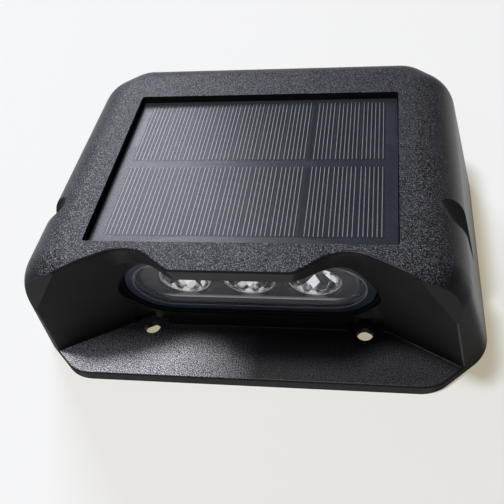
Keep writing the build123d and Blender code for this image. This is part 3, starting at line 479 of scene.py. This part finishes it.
leaning = add_node(tree, "ShaderNodeMapRange", [normal_z, rounding_start, rounding_full])
near_roof = add_node(tree, "ShaderNodeMapRange", [place_z, rounding_foot, rounding_top])
rounding = add_node(tree, "ShaderNodeMath", [leaning, near_roof], operation="MULTIPLY")
etched_rounding = add_node(tree, "ShaderNodeMath", [rounding, etched], operation="MULTIPLY")
bump_share = add_node(tree, "ShaderNodeMath", [full_grain, etched_rounding], operation="MAXIMUM")
strength = add_node(tree, "ShaderNodeMapRange", [bump_share, 0, 1, weak_grain, 1])
relief = add_node(tree, "ShaderNodeMath", [worms, strength], operation="MULTIPLY")
grain_bump = add_node(tree, "ShaderNodeBump", {"Height": relief, "Distance": grain_depth})
fill(tree, shader, {"Normal": grain_bump})
dress(abs_grained, "front_housing", "back_plate")

# %% [markdown]
# ## Plain moulded pieces
#
# Inside, nobody etches a mould. The cradle and the switch come out smooth with a soft shine. The
# reflector carrier is a greyer plastic with a satin face, since it shows behind the lens. Along its
# lower edge a much paler strip is a painted highlight, so height decides its colour there.

# %% Smooth black plastic
# Smooth black ABS: dark, with a soft highlight and faint flow clouds.
plain_finish(
    "smooth_black_abs",
    ("battery_cradle", "switch_body", "switch_plunger"),
    cloud=(6 * MM, "#17181a", "#1f2022"),
    pits=(2 * MM, 0.01 * MM),
    roughness=0.38,
    ior=1.53,
)

# %% Grey carrier
# Satin grey polycarbonate: the plate round the cups, lighter than the housing.
strip_drop = 8.0 * MM
strip_below = 0.2 * MM
strip_above = 1.2 * MM

carrier_grey, tree, place, shader = start_finish("satin_grey_polycarbonate", roughness=0.30, ior=1.58)
carrier_low, carrier_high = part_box("reflector_carrier")
strip_middle = (carrier_low.z + carrier_high.z) / 2 - strip_drop
height = add_node(tree, "ShaderNodeSeparateXYZ", [place]).outputs["Z"]
# Painted highlight: a near-white strip along the lower edge of the carrier, placed by height.
strip_range = [height, strip_middle - strip_below, strip_middle + strip_above, 1, 0]
painted_edge_highlight = add_node(tree, "ShaderNodeMapRange", strip_range)
plate_tone = clouded(tree, place, 4 * MM, "#343438", "#404045")
carrier_colours = {0: painted_edge_highlight, 6: plate_tone, 7: srgb("#ececf0")}
carrier_tone = add_node(tree, "ShaderNodeMix", carrier_colours, data_type="RGBA")
fill(tree, shader, {"Base Color": carrier_tone})
dress(carrier_grey, "reflector_carrier")

# %% [markdown]
# ## Lens and cover sheet
#
# Both are clear plastic. Real refraction needs many light paths and leaves what is behind it
# noisy, so a thin clear piece is often drawn as a shader with a low alpha: most of the light goes
# straight through, and a share of the gloss stays. The lens is thicker round its edge, where
# its skirt is seen end on, and looks navy there. So its alpha follows the distance from the
# middle line of its long rounded shape.

# %% Clear lens
# Clear polycarbonate: see-through in the middle, navy at the skirt.
lens_half_straight = 21.0 * MM
clear_radius = 9.2 * MM
skirt_radius = 9.9 * MM
clear_alpha = 0.05
skirt_alpha = 0.92

lens_low, lens_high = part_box("lens")
lens_middle = (lens_low + lens_high) / 2
lens_clear, tree, place, shader = start_finish("clear_polycarbonate", roughness=0.32, ior=1.45)
axes = add_node(tree, "ShaderNodeSeparateXYZ", [place]).outputs
off_centre = add_node(tree, "ShaderNodeMath", [axes["X"]], operation="ABSOLUTE")
past_line = add_node(tree, "ShaderNodeMath", [off_centre, lens_half_straight], operation="SUBTRACT")
past_end = add_node(tree, "ShaderNodeMath", [past_line, 0.0], operation="MAXIMUM")
above = add_node(tree, "ShaderNodeMath", [axes["Z"], lens_middle.z], operation="SUBTRACT")
past_squared = add_node(tree, "ShaderNodeMath", [past_end, 2.0], operation="POWER")
above_squared = add_node(tree, "ShaderNodeMath", [above, 2.0], operation="POWER")
square = add_node(tree, "ShaderNodeMath", [past_squared, above_squared], operation="ADD")
distance = add_node(tree, "ShaderNodeMath", [square], operation="SQRT")
edge = add_node(tree, "ShaderNodeMapRange", [distance, clear_radius, skirt_radius])
lens_colours = {0: edge, 6: srgb("#c8ccd4"), 7: srgb("#252b3a")}
lens_tone = add_node(tree, "ShaderNodeMix", lens_colours, data_type="RGBA")
lens_alpha = add_node(tree, "ShaderNodeMapRange", [edge, 0, 1, clear_alpha, skirt_alpha])
fill(tree, shader, {"Base Color": lens_tone, "Alpha": lens_alpha})
dress(lens_clear, "lens")

# %% Clear cover sheet
# Clear PET film: a thin satin sheet laminated over the cells, a little blue.
film_grain = 0.5 * MM

pet_film, tree, place, shader = start_finish("clear_pet_film", alpha=0.30, ior=1.57)
film_patterns = {
    "Base Color": clouded(tree, place, 7 * MM, "#414651", "#4b505b"),
    "Roughness": scuffed(tree, place, film_grain, 0.24, 0.31),
    "Normal": pitted(tree, place, film_grain, 0.006 * MM),
}
fill(tree, shader, film_patterns)
dress(pet_film, "solar_cover_sheet")

# %% [markdown]
# ## Cells and their board
#
# The strips under the film are amorphous silicon on a dark board. Board and cells are close in
# tone, so that what shows is mostly the printed fingers. Both keep a satin shine of their own,
# because the film lets most of it through.

# %% Board, cells and paste
# Dark fibreglass laminate: a slate sheet with faint, fine relief under its lacquer.
board_relief = 0.9 * MM
plain_finish(
    "dark_fibreglass_laminate",
    ("solar_backing_board",),
    cloud=(board_relief, "#262a33", "#2d313a"),
    pits=(board_relief, 0.008 * MM),
    roughness=0.34,
)

# Amorphous silicon: nearly the same slate, a touch bluer, with a faint mottle.
mottle_size = 0.8 * MM
plain_finish(
    "dark_silicon",
    ("solar_cells_front_row", "solar_cells_rear_row"),
    cloud=(mottle_size, "#262a34", "#2f333e"),
    pits=(mottle_size, 0.006 * MM),
    roughness=0.32,
    ior=1.6,
)

# Printed silver paste: pale grey and half matt. The fingers below wear it.
silver_paste, tree, place, shader = start_finish("printed_silver_paste", metallic=0.4, roughness=0.5)
fill(tree, shader, {"Base Color": clouded(tree, place, 0.5 * MM, "#a2a4ab", "#c2c4ca")})

# %% [markdown]
# ## Helpers for Geometry Nodes
#
# A Geometry Nodes tree is a recipe for a mesh. Its sizes are named inputs, so that one tree can
# make several pieces. `node_group` starts a tree, `end_group` closes it, and `grow` runs it. The
# exporter wants plain meshes, so the result is copied into one and the modifier is removed.

# %% Start, close and run a tree
def node_group(name, named_inputs):
    """Start a Geometry Nodes tree with named inputs, and return its ends."""
    tree = bpy.data.node_groups.new(name, "GeometryNodeTree")
    tree.interface.new_socket("Geometry", in_out="OUTPUT", socket_type="NodeSocketGeometry")
    for label, kind in named_inputs.items():
        tree.interface.new_socket(label, in_out="INPUT", socket_type=kind)
    start = add_node(tree, "NodeGroupInput").outputs
    return tree, start


def end_group(tree, geometry, material):
    """Turn instances into real faces, give them a finish and close the tree."""
    real = add_node(tree, "GeometryNodeRealizeInstances", {"Geometry": geometry})
    dressed = add_node(tree, "GeometryNodeSetMaterial", {"Geometry": real, "Material": material})
    add_node(tree, "NodeGroupOutput", {"Geometry": dressed})


def grow(name, tree, values):
    """Run a tree with these values, and keep the result as a plain mesh object."""
    holder = bpy.data.objects.new(name, bpy.data.meshes.new(name))
    bpy.context.scene.collection.objects.link(holder)
    modifier = holder.modifiers.new("grow", "NODES")
    modifier.node_group = tree
    for item in tree.interface.items_tree:
        if item.in_out == "INPUT":
            modifier[item.identifier] = values[item.name]
    graph = bpy.context.evaluated_depsgraph_get()
    made = bpy.data.meshes.new_from_object(holder.evaluated_get(graph), depsgraph=graph)
    holder.modifiers.remove(modifier)
    holder.data = made
    print(name, "has", len(made.polygons), "faces")
    return holder


# %% [markdown]
# ## Printed fingers
#
# Each cell carries six thin lines of silver paste that gather its current. Drawing them as a
# texture would blur at this size, and placing 118 strips by hand would be dull, so a tree lays
# them out. A line of points makes the rows, a second the cells in a row, and a third the fingers
# in a cell. One strip is then copied onto every point. On this light one finger near the right
# was never printed, and a Delete Geometry node takes it out of each row.

# %% Tree of the fingers: the points
finger_inputs = {
    "Start": "NodeSocketVector",
    "Rows": "NodeSocketInt",
    "Row Step": "NodeSocketVector",
    "Cells": "NodeSocketInt",
    "Cell Step": "NodeSocketVector",
    "Fingers": "NodeSocketInt",
    "Finger Step": "NodeSocketVector",
    "Finger Size": "NodeSocketVector",
    "Missing": "NodeSocketInt",
    "Paste": "NodeSocketMaterial",
}
tree, start = node_group("printed_fingers", finger_inputs)
row_line = {"Count": start["Rows"], "Start Location": start["Start"], "Offset": start["Row Step"]}
rows = add_node(tree, "GeometryNodeMeshLine", row_line)
cell_line = {"Count": start["Cells"], "Offset": start["Cell Step"]}
cells = add_node(tree, "GeometryNodeMeshLine", cell_line)
finger_line = {"Count": start["Fingers"], "Offset": start["Finger Step"]}
fingers = add_node(tree, "GeometryNodeMeshLine", finger_line)
cells_on_rows = add_node(tree, "GeometryNodeInstanceOnPoints", {"Points": rows, "Instance": cells})
cell_points = add_node(tree, "GeometryNodeRealizeInstances", [cells_on_rows])
finger_copies = {"Points": cell_points, "Instance": fingers}
fingers_on_cells = add_node(tree, "GeometryNodeInstanceOnPoints", finger_copies)
finger_points = add_node(tree, "GeometryNodeRealizeInstances", [fingers_on_cells])
print("tree lays out points with", len(tree.nodes), "nodes")

# %% [markdown]
# The points are numbered row after row. The number's remainder after a whole row is the place in
# the row, and the point at the missing place is deleted before the strips are put on.

# %% Tree of the fingers: the strips
per_row = add_node(tree, "ShaderNodeMath", [start["Cells"], start["Fingers"]], operation="MULTIPLY")
index = add_node(tree, "GeometryNodeInputIndex")
place_in_row = add_node(tree, "ShaderNodeMath", [index, per_row], operation="MODULO")
is_missing = add_node(tree, "ShaderNodeMath", [place_in_row, start["Missing"]], operation="COMPARE")
to_delete = {"Geometry": finger_points, "Selection": is_missing}
kept_points = add_node(tree, "GeometryNodeDeleteGeometry", to_delete)
strip = add_node(tree, "GeometryNodeMeshCube", {"Size": start["Finger Size"]})
strips = add_node(tree, "GeometryNodeInstanceOnPoints", {"Points": kept_points, "Instance": strip})
end_group(tree, strips, start["Paste"])
print("finger tree has", len(tree.nodes), "nodes")

# %% [markdown]
# The sizes come from the CAD boxes of the two rows of cells. A row is its cells and the gaps
# between them, so the pitch is the row's length and one more gap, shared out over the cells.

# %% Print the fingers
cells_in_row = 10
cell_gap = 0.3 * MM
fingers_in_cell = 6
finger_pitch = 1.10 * MM
finger_width = 0.17 * MM
finger_height = 0.05 * MM
missing_finger = 42

front_low, front_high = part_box("solar_cells_front_row")
rear_low, rear_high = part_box("solar_cells_rear_row")
cell_pitch = (front_high.x - front_low.x + cell_gap) / cells_in_row
finger_margin = (cell_pitch - cell_gap - (fingers_in_cell - 1) * finger_pitch) / 2
finger_length = front_high.y - front_low.y
row_middle = (front_low.y + front_high.y) / 2
finger_values = {
    "Start": (front_low.x + finger_margin, row_middle, front_high.z + finger_height / 2),
    "Rows": 2,
    "Row Step": (0, rear_low.y - front_low.y, 0),
    "Cells": cells_in_row,
    "Cell Step": (cell_pitch, 0, 0),
    "Fingers": fingers_in_cell,
    "Finger Step": (finger_pitch, 0, 0),
    "Finger Size": (finger_width, finger_length, finger_height),
    "Missing": missing_finger,
    "Paste": silver_paste,
}
solar_fingers = grow("solar_fingers", tree, finger_values)
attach(solar_fingers, "light")

# %% [markdown]
# ## Bright cups
#
# A reflector cup for a lamp is moulded with flat facets, so that it throws an even patch and not
# a picture of the lamp. The CAD cups are smooth, so each gets a faceted one in the same space.
# The plating is a mirror, but satin on the rim. The tree of the cup marks its rim with an
# attribute, and the finish reads that mark.

# %% Plating
# Vacuum-metallised plastic: a clean bright mirror, with a satin rim.
mirror_roughness = 0.08
rim_roughness = 0.5

plating, tree, place, shader = start_finish("vacuum_metallised_plastic", metallic=1.0)
rim_mark = add_node(tree, "ShaderNodeAttribute", attribute_name="rim").outputs["Fac"]
rim_range = [rim_mark, 0, 1, mirror_roughness, rim_roughness]
plating_patterns = {
    "Base Color": clouded(tree, place, 2 * MM, "#ececee", "#f4f4f6"),
    "Roughness": add_node(tree, "ShaderNodeMapRange", rim_range),
}
fill(tree, shader, plating_patterns)
print("roughness of the mirror", mirror_roughness, "and of the rim", rim_roughness)

# %% [markdown]
# The bowl follows a simple rule: take a flat grid, roll it round, and let its radius shrink
# towards the foot like a parabola. The grid is one unit wide and deep, so its x is a share of the
# full turn and its y a share of the depth. Each tier is turned by half a facet, which makes the
# facets diamonds.

# %% Tree of the cup: angle and radius
cup_inputs = {
    "Facets": "NodeSocketInt",
    "Tiers": "NodeSocketInt",
    "Bore Radius": "NodeSocketFloat",
    "Foot Radius": "NodeSocketFloat",
    "Rim Radius": "NodeSocketFloat",
    "Rim Width": "NodeSocketFloat",
    "Rim Steps": "NodeSocketInt",
    "Depth": "NodeSocketFloat",
    "Wall": "NodeSocketFloat",
    "Plating": "NodeSocketMaterial",
}
tree, start = node_group("faceted_cup", cup_inputs)
flat_place = add_node(tree, "GeometryNodeInputPosition")
flat_axes = add_node(tree, "ShaderNodeSeparateXYZ", [flat_place]).outputs
down = add_node(tree, "ShaderNodeMath", [flat_axes["Y"], 0.5], operation="ADD")
tiers_down = add_node(tree, "ShaderNodeMath", [down, start["Tiers"]], operation="MULTIPLY")
half_facets = add_node(tree, "ShaderNodeMath", [tiers_down, 0.5], operation="MULTIPLY")
half_turns = add_node(tree, "ShaderNodeMath", [half_facets, start["Facets"]], operation="DIVIDE")
turned = add_node(tree, "ShaderNodeMath", [flat_axes["X"], half_turns], operation="ADD")
angle = add_node(tree, "ShaderNodeMath", [turned, 2 * pi], operation="MULTIPLY")

down_squared = add_node(tree, "ShaderNodeMath", [down, down], operation="MULTIPLY")
bowl = add_node(tree, "ShaderNodeMath", [1.0, down_squared], operation="SUBTRACT")
radii = [start["Bore Radius"], start["Foot Radius"]]
widening = add_node(tree, "ShaderNodeMath", radii, operation="SUBTRACT")
reach = add_node(tree, "ShaderNodeMath", [widening, bowl], operation="MULTIPLY")
radius = add_node(tree, "ShaderNodeMath", [start["Foot Radius"], reach], operation="ADD")
print("angle and radius take", len(tree.nodes), "nodes")

# %% [markdown]
# Cosine and sine turn angle and radius into a place, and Set Position moves the grid's corners
# there.

# %% Tree of the cup: roll the grid
cosine = add_node(tree, "ShaderNodeMath", [angle], operation="COSINE")
sine = add_node(tree, "ShaderNodeMath", [angle], operation="SINE")
round_x = add_node(tree, "ShaderNodeMath", [radius, cosine], operation="MULTIPLY")
round_y = add_node(tree, "ShaderNodeMath", [radius, sine], operation="MULTIPLY")
depth_here = add_node(tree, "ShaderNodeMath", [down, start["Depth"]], operation="MULTIPLY")
below_rim = add_node(tree, "ShaderNodeMath", [depth_here, -1.0], operation="MULTIPLY")
rolled = add_node(tree, "ShaderNodeCombineXYZ", [round_x, round_y, below_rim])

corners_round = add_node(tree, "ShaderNodeMath", [start["Facets"], 1.0], operation="ADD")
corners_down = add_node(tree, "ShaderNodeMath", [start["Tiers"], 1.0], operation="ADD")
grid = add_node(tree, "GeometryNodeMeshGrid", [1.0, 1.0, corners_round, corners_down])
bowl_skin = add_node(tree, "GeometryNodeSetPosition", {"Geometry": grid, "Position": rolled})
print("the bowl takes", len(tree.nodes), "nodes")

# %% [markdown]
# The rolled grid has two edges that meet, so Merge by Distance sews them. Extrude Mesh then gives
# the outer skin, the old skin turned over becomes the inner one, and both are sewn to a shell.

# %% Tree of the cup: the shell
seam_reach = 0.001 * MM

triangles = add_node(tree, "GeometryNodeTriangulate", {"Mesh": bowl_skin})
skin_seam = {"Geometry": triangles, "Distance": seam_reach}
closed_skin = add_node(tree, "GeometryNodeMergeByDistance", skin_seam)
outward_push = {"Mesh": closed_skin, "Offset Scale": start["Wall"], "Individual": False}
outer_skin = add_node(tree, "GeometryNodeExtrudeMesh", outward_push)
inner_skin = add_node(tree, "GeometryNodeFlipFaces", {"Mesh": closed_skin})
both_skins = add_node(tree, "GeometryNodeJoinGeometry", {"Geometry": outer_skin})
fill(tree, both_skins, {"Geometry": inner_skin})
shell_seam = {"Geometry": both_skins, "Distance": seam_reach}
shell = add_node(tree, "GeometryNodeMergeByDistance", shell_seam)
print("with its shell the cup takes", len(tree.nodes), "nodes")

# %% [markdown]
# The rim is a small circle swept round a large one. Store Named Attribute gives its points the
# mark that the plating reads.

# %% Tree of the cup: the rim
rim_corners = 12

rim_half = add_node(tree, "ShaderNodeMath", [start["Rim Width"], 0.5], operation="MULTIPLY")
rim_middle = add_node(tree, "ShaderNodeMath", [start["Rim Radius"], rim_half], operation="SUBTRACT")
path_circle = {"Resolution": start["Rim Steps"], "Radius": rim_middle}
rim_path = add_node(tree, "GeometryNodeCurvePrimitiveCircle", path_circle)
section_circle = {"Resolution": rim_corners, "Radius": rim_half}
rim_section = add_node(tree, "GeometryNodeCurvePrimitiveCircle", section_circle)
swept = {"Curve": rim_path, "Profile Curve": rim_section}
rim_ring = add_node(tree, "GeometryNodeCurveToMesh", swept)
rim_drop = add_node(tree, "ShaderNodeMath", [rim_half, -1.0], operation="MULTIPLY")
rim_place = add_node(tree, "ShaderNodeCombineXYZ", {"Z": rim_drop})
rim_move = {"Geometry": rim_ring, "Translation": rim_place}
rim_moved = add_node(tree, "GeometryNodeTransform", rim_move)
mark = {"Geometry": rim_moved, "Name": "rim", "Value": 1.0}
rim_marked = add_node(tree, "GeometryNodeStoreNamedAttribute", mark)
cup_parts = add_node(tree, "GeometryNodeJoinGeometry", {"Geometry": shell})
fill(tree, cup_parts, {"Geometry": rim_marked})
end_group(tree, cup_parts, start["Plating"])
cup_tree = tree
print("cup tree has", len(cup_tree.nodes), "nodes")

# %% [markdown]
# The three cups sit square to the lamp wall, which leans by 11.5 degrees. Their axis runs through
# the phosphor of each lamp, so the CAD boxes of the lamps give their places. The mesh is turned
# and moved, and not the object, so the object stays at the origin as a CAD node does.

# %% Sizes of a cup
cup_depth = 6.6 * MM
cup_values = {
    "Facets": 11,
    "Tiers": 4,
    "Bore Radius": 6.65 * MM,
    "Foot Radius": 2.5 * MM,
    "Rim Radius": 7.2 * MM,
    "Rim Width": 0.85 * MM,
    "Rim Steps": 48,
    "Depth": cup_depth,
    "Wall": 0.10 * MM,
    "Plating": plating,
}
print("a cup has", cup_values["Facets"], "facets round and", cup_values["Tiers"], "tiers")

# %% Place the cups
lamp_lean = radians(11.5)
lamp_height = 0.7 * MM

outward = Vector((0, -cos(lamp_lean), -sin(lamp_lean)))
up_wall = Vector((0, -sin(lamp_lean), cos(lamp_lean)))
cup_turn = Matrix((Vector((1, 0, 0)), up_wall, outward)).transposed().to_4x4()
for side in ("left", "middle", "right"):
    low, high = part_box(f"led_{side}")
    lamp_middle = (low + high) / 2
    rim_centre = lamp_middle + outward * (cup_depth - lamp_height / 2)
    cup = grow(f"bright_cup_{side}", cup_tree, cup_values)
    cup.data.transform(Matrix.Translation(rim_centre) @ cup_turn)
    shape = bmesh.new()
    shape.from_mesh(cup.data)
    bmesh.ops.recalc_face_normals(shape, faces=shape.faces)
    shape.to_mesh(cup.data)
    shape.free()
    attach(cup, "light")
    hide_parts(f"reflector_cup_{side}")

# %% [markdown]
# ## Lamps and their board
#
# A white lamp is a blue chip under a yellow phosphor, in a small white package. Switched off it
# is the phosphor's yellow that shows, and the cups repeat it many times over.

# %% Lamp packages, phosphor and lamp board
# White ceramic-filled nylon: bright and slightly warm, with faint clouds.
white_nylon, tree, place, shader = start_finish("white_filled_nylon", roughness=0.4, ior=1.53)
fill(tree, shader, {"Base Color": clouded(tree, place, 0.8 * MM, "#e6e4dc", "#f0eee8")})
dress(white_nylon, "led_left", "led_middle", "led_right")

# Phosphor in silicone: strong yellow with fine grains.
plain_finish(
    "phosphor_in_silicone",
    ("led_phosphor",),
    cloud=(0.12 * MM, "#d9b13a", "#e8cf5c"),
    pits=(0.2 * MM, 0.01 * MM),
    roughness=0.3,
    ior=1.41,
)

# White solder mask: a smooth enamel over the board, glossy and even.
plain_finish(
    "white_solder_mask",
    ("led_board",),
    cloud=(5 * MM, "#e2e4e2", "#edeeec"),
    pits=(1 * MM, 0.004 * MM),
    roughness=0.28,
)

# %% [markdown]
# ## Electronics
#
# These pieces are shut inside, but a bench photograph would show them, so each gets the finish
# it has in life. The green board is lacquer over copper, and the copper tracks raise it a little.
# A brick pattern turned into a bump gives that look of straight tracks side by side.

# %% Control board
# Green solder mask: a glossy lacquer with the copper tracks in relief.
track_pitch = 1.27 * MM
track_gap_share = 0.25
track_length_pitches = 9
track_relief = 0.03 * MM

mask_green, tree, place, shader = start_finish("green_solder_mask", roughness=0.3)
track_inputs = {
    "Vector": place,
    "Color1": srgb("#12482a"),
    "Color2": srgb("#175434"),
    "Mortar": srgb("#0c3a20"),
    "Scale": 1.0,
    "Mortar Size": track_gap_share * track_pitch,
    "Brick Width": track_length_pitches * track_pitch,
    "Row Height": track_pitch,
}
tracks = add_node(tree, "ShaderNodeTexBrick", track_inputs).outputs
track_bump = add_node(tree, "ShaderNodeBump", {"Height": tracks["Fac"], "Distance": track_relief})
fill(tree, shader, {"Base Color": tracks["Color"], "Normal": track_bump})
dress(mask_green, "control_board")

# %% Parts on the control board
# Moulded epoxy: charcoal and matt, with the fine pits of its sandy filler.
plain_finish(
    "moulded_black_epoxy",
    ("controller_chip", "driver_chip", "diode", "resistors"),
    cloud=(0.3 * MM, "#1b1b1d", "#29292b"),
    pits=(0.15 * MM, 0.01 * MM),
    roughness=0.6,
    ior=1.55,
)

# Sintered ferrite: dark grey ceramic with a dull shine and coarse grains.
plain_finish(
    "sintered_ferrite",
    ("inductor",),
    cloud=(0.4 * MM, "#2b2b2d", "#3c3b3c"),
    pits=(0.3 * MM, 0.02 * MM),
    roughness=0.5,
    ior=2.2,
)

# Shrunk vinyl over an aluminium can: glossy blue-black sleeve.
plain_finish(
    "vinyl_sleeved_aluminium",
    ("capacitor",),
    cloud=(3 * MM, "#1c2438", "#242d44"),
    pits=(1.2 * MM, 0.02 * MM),
    roughness=0.25,
    ior=1.54,
)

# %% [markdown]
# ## Battery and metals
#
# The cell wears a shrunk sleeve, which is never quite flat. The contacts are nickel on steel, and
# the screws zinc, a colder and duller metal. Handling scuffs a plated face, so its roughness
# wanders between a bright and a dull value.

# %% Battery, contacts and screws
# Shrunk vinyl: a smooth blue sleeve, drawn tight, with faint ripples.
plain_finish(
    "shrunk_blue_vinyl",
    ("battery_cell",),
    cloud=(8 * MM, "#1f4f8c", "#265a9a"),
    pits=(4 * MM, 0.05 * MM),
    roughness=0.3,
    ior=1.54,
)

# Nickel plate: warm silver, rolled smooth, with light scuffs.
nickel, tree, place, shader = start_finish("nickel_plated_steel", metallic=1.0)
nickel_patterns = {
    "Base Color": clouded(tree, place, 1.5 * MM, "#b9b4a8", "#c9c4b8"),
    "Roughness": scuffed(tree, place, 0.7 * MM, 0.2, 0.34),
}
fill(tree, shader, nickel_patterns)
dress(nickel, "battery_plus_contact", "battery_minus_contact")

# Zinc plate: cold silver with a mottled, slightly dull face.
zinc, tree, place, shader = start_finish("zinc_plated_steel", metallic=1.0)
zinc_patterns = {
    "Base Color": clouded(tree, place, 1.2 * MM, "#a9adb2", "#bcc0c4"),
    "Roughness": scuffed(tree, place, 0.5 * MM, 0.28, 0.45),
}
fill(tree, shader, zinc_patterns)
dress(zinc, "back_plate_screws", "led_board_screws", "control_board_screws", "cradle_screws")

# %% [markdown]
# ## Seals, button, tape and leads
#
# The seals and the button are silicone, which is soft, and its shine stays broad and dull. The
# button is greyer than the seals, so that it is found on the black plate. The leads are vinyl, red
# for plus and black for minus.

# %% Silicone pieces and tape
# Moulded silicone rubber: soft black with a broad dull shine.
plain_finish(
    "black_silicone_rubber",
    ("lens_gasket", "back_seal", "button_seal"),
    cloud=(2 * MM, "#18181a", "#232325"),
    pits=(0.4 * MM, 0.01 * MM),
    roughness=0.55,
    ior=1.41,
)

# Grey silicone rubber: the same broad shine on a paler, slightly coarser face.
plain_finish(
    "grey_silicone_rubber",
    ("push_button",),
    cloud=(2 * MM, "#3c3d40", "#48494c"),
    pits=(0.5 * MM, 0.015 * MM),
    roughness=0.5,
    ior=1.41,
)

# Acrylic foam tape: white, matt and full of tiny bubbles.
plain_finish(
    "acrylic_foam_tape",
    ("solar_adhesive",),
    cloud=(0.5 * MM, "#dcdad4", "#e9e8e3"),
    pits=(0.3 * MM, 0.03 * MM),
    roughness=0.8,
    ior=1.47,
)

# %% Leads
# Drawn vinyl: the coloured skin of a lead, glossy, with a slight orange peel.
for lead_name, dark, light, pole in (
    ("red_drawn_vinyl", "#9c1712", "#b3201a", "plus"),
    ("black_drawn_vinyl", "#161617", "#202021", "minus"),
):
    plain_finish(
        lead_name,
        (f"panel_lead_{pole}", f"battery_lead_{pole}", f"led_lead_{pole}"),
        cloud=(3 * MM, dark, light),
        pits=(0.5 * MM, 0.01 * MM),
        roughness=0.35,
        ior=1.54,
    )

# %% [markdown]
# ## Finishes in use
#
# Every CAD node should now wear a finish made here. The last lines count the finishes in use.

# %% Count the finishes in use
finishes = {slot.material.name for node in nodes.values() for slot in node.material_slots}
print("finishes in use:", len(finishes))
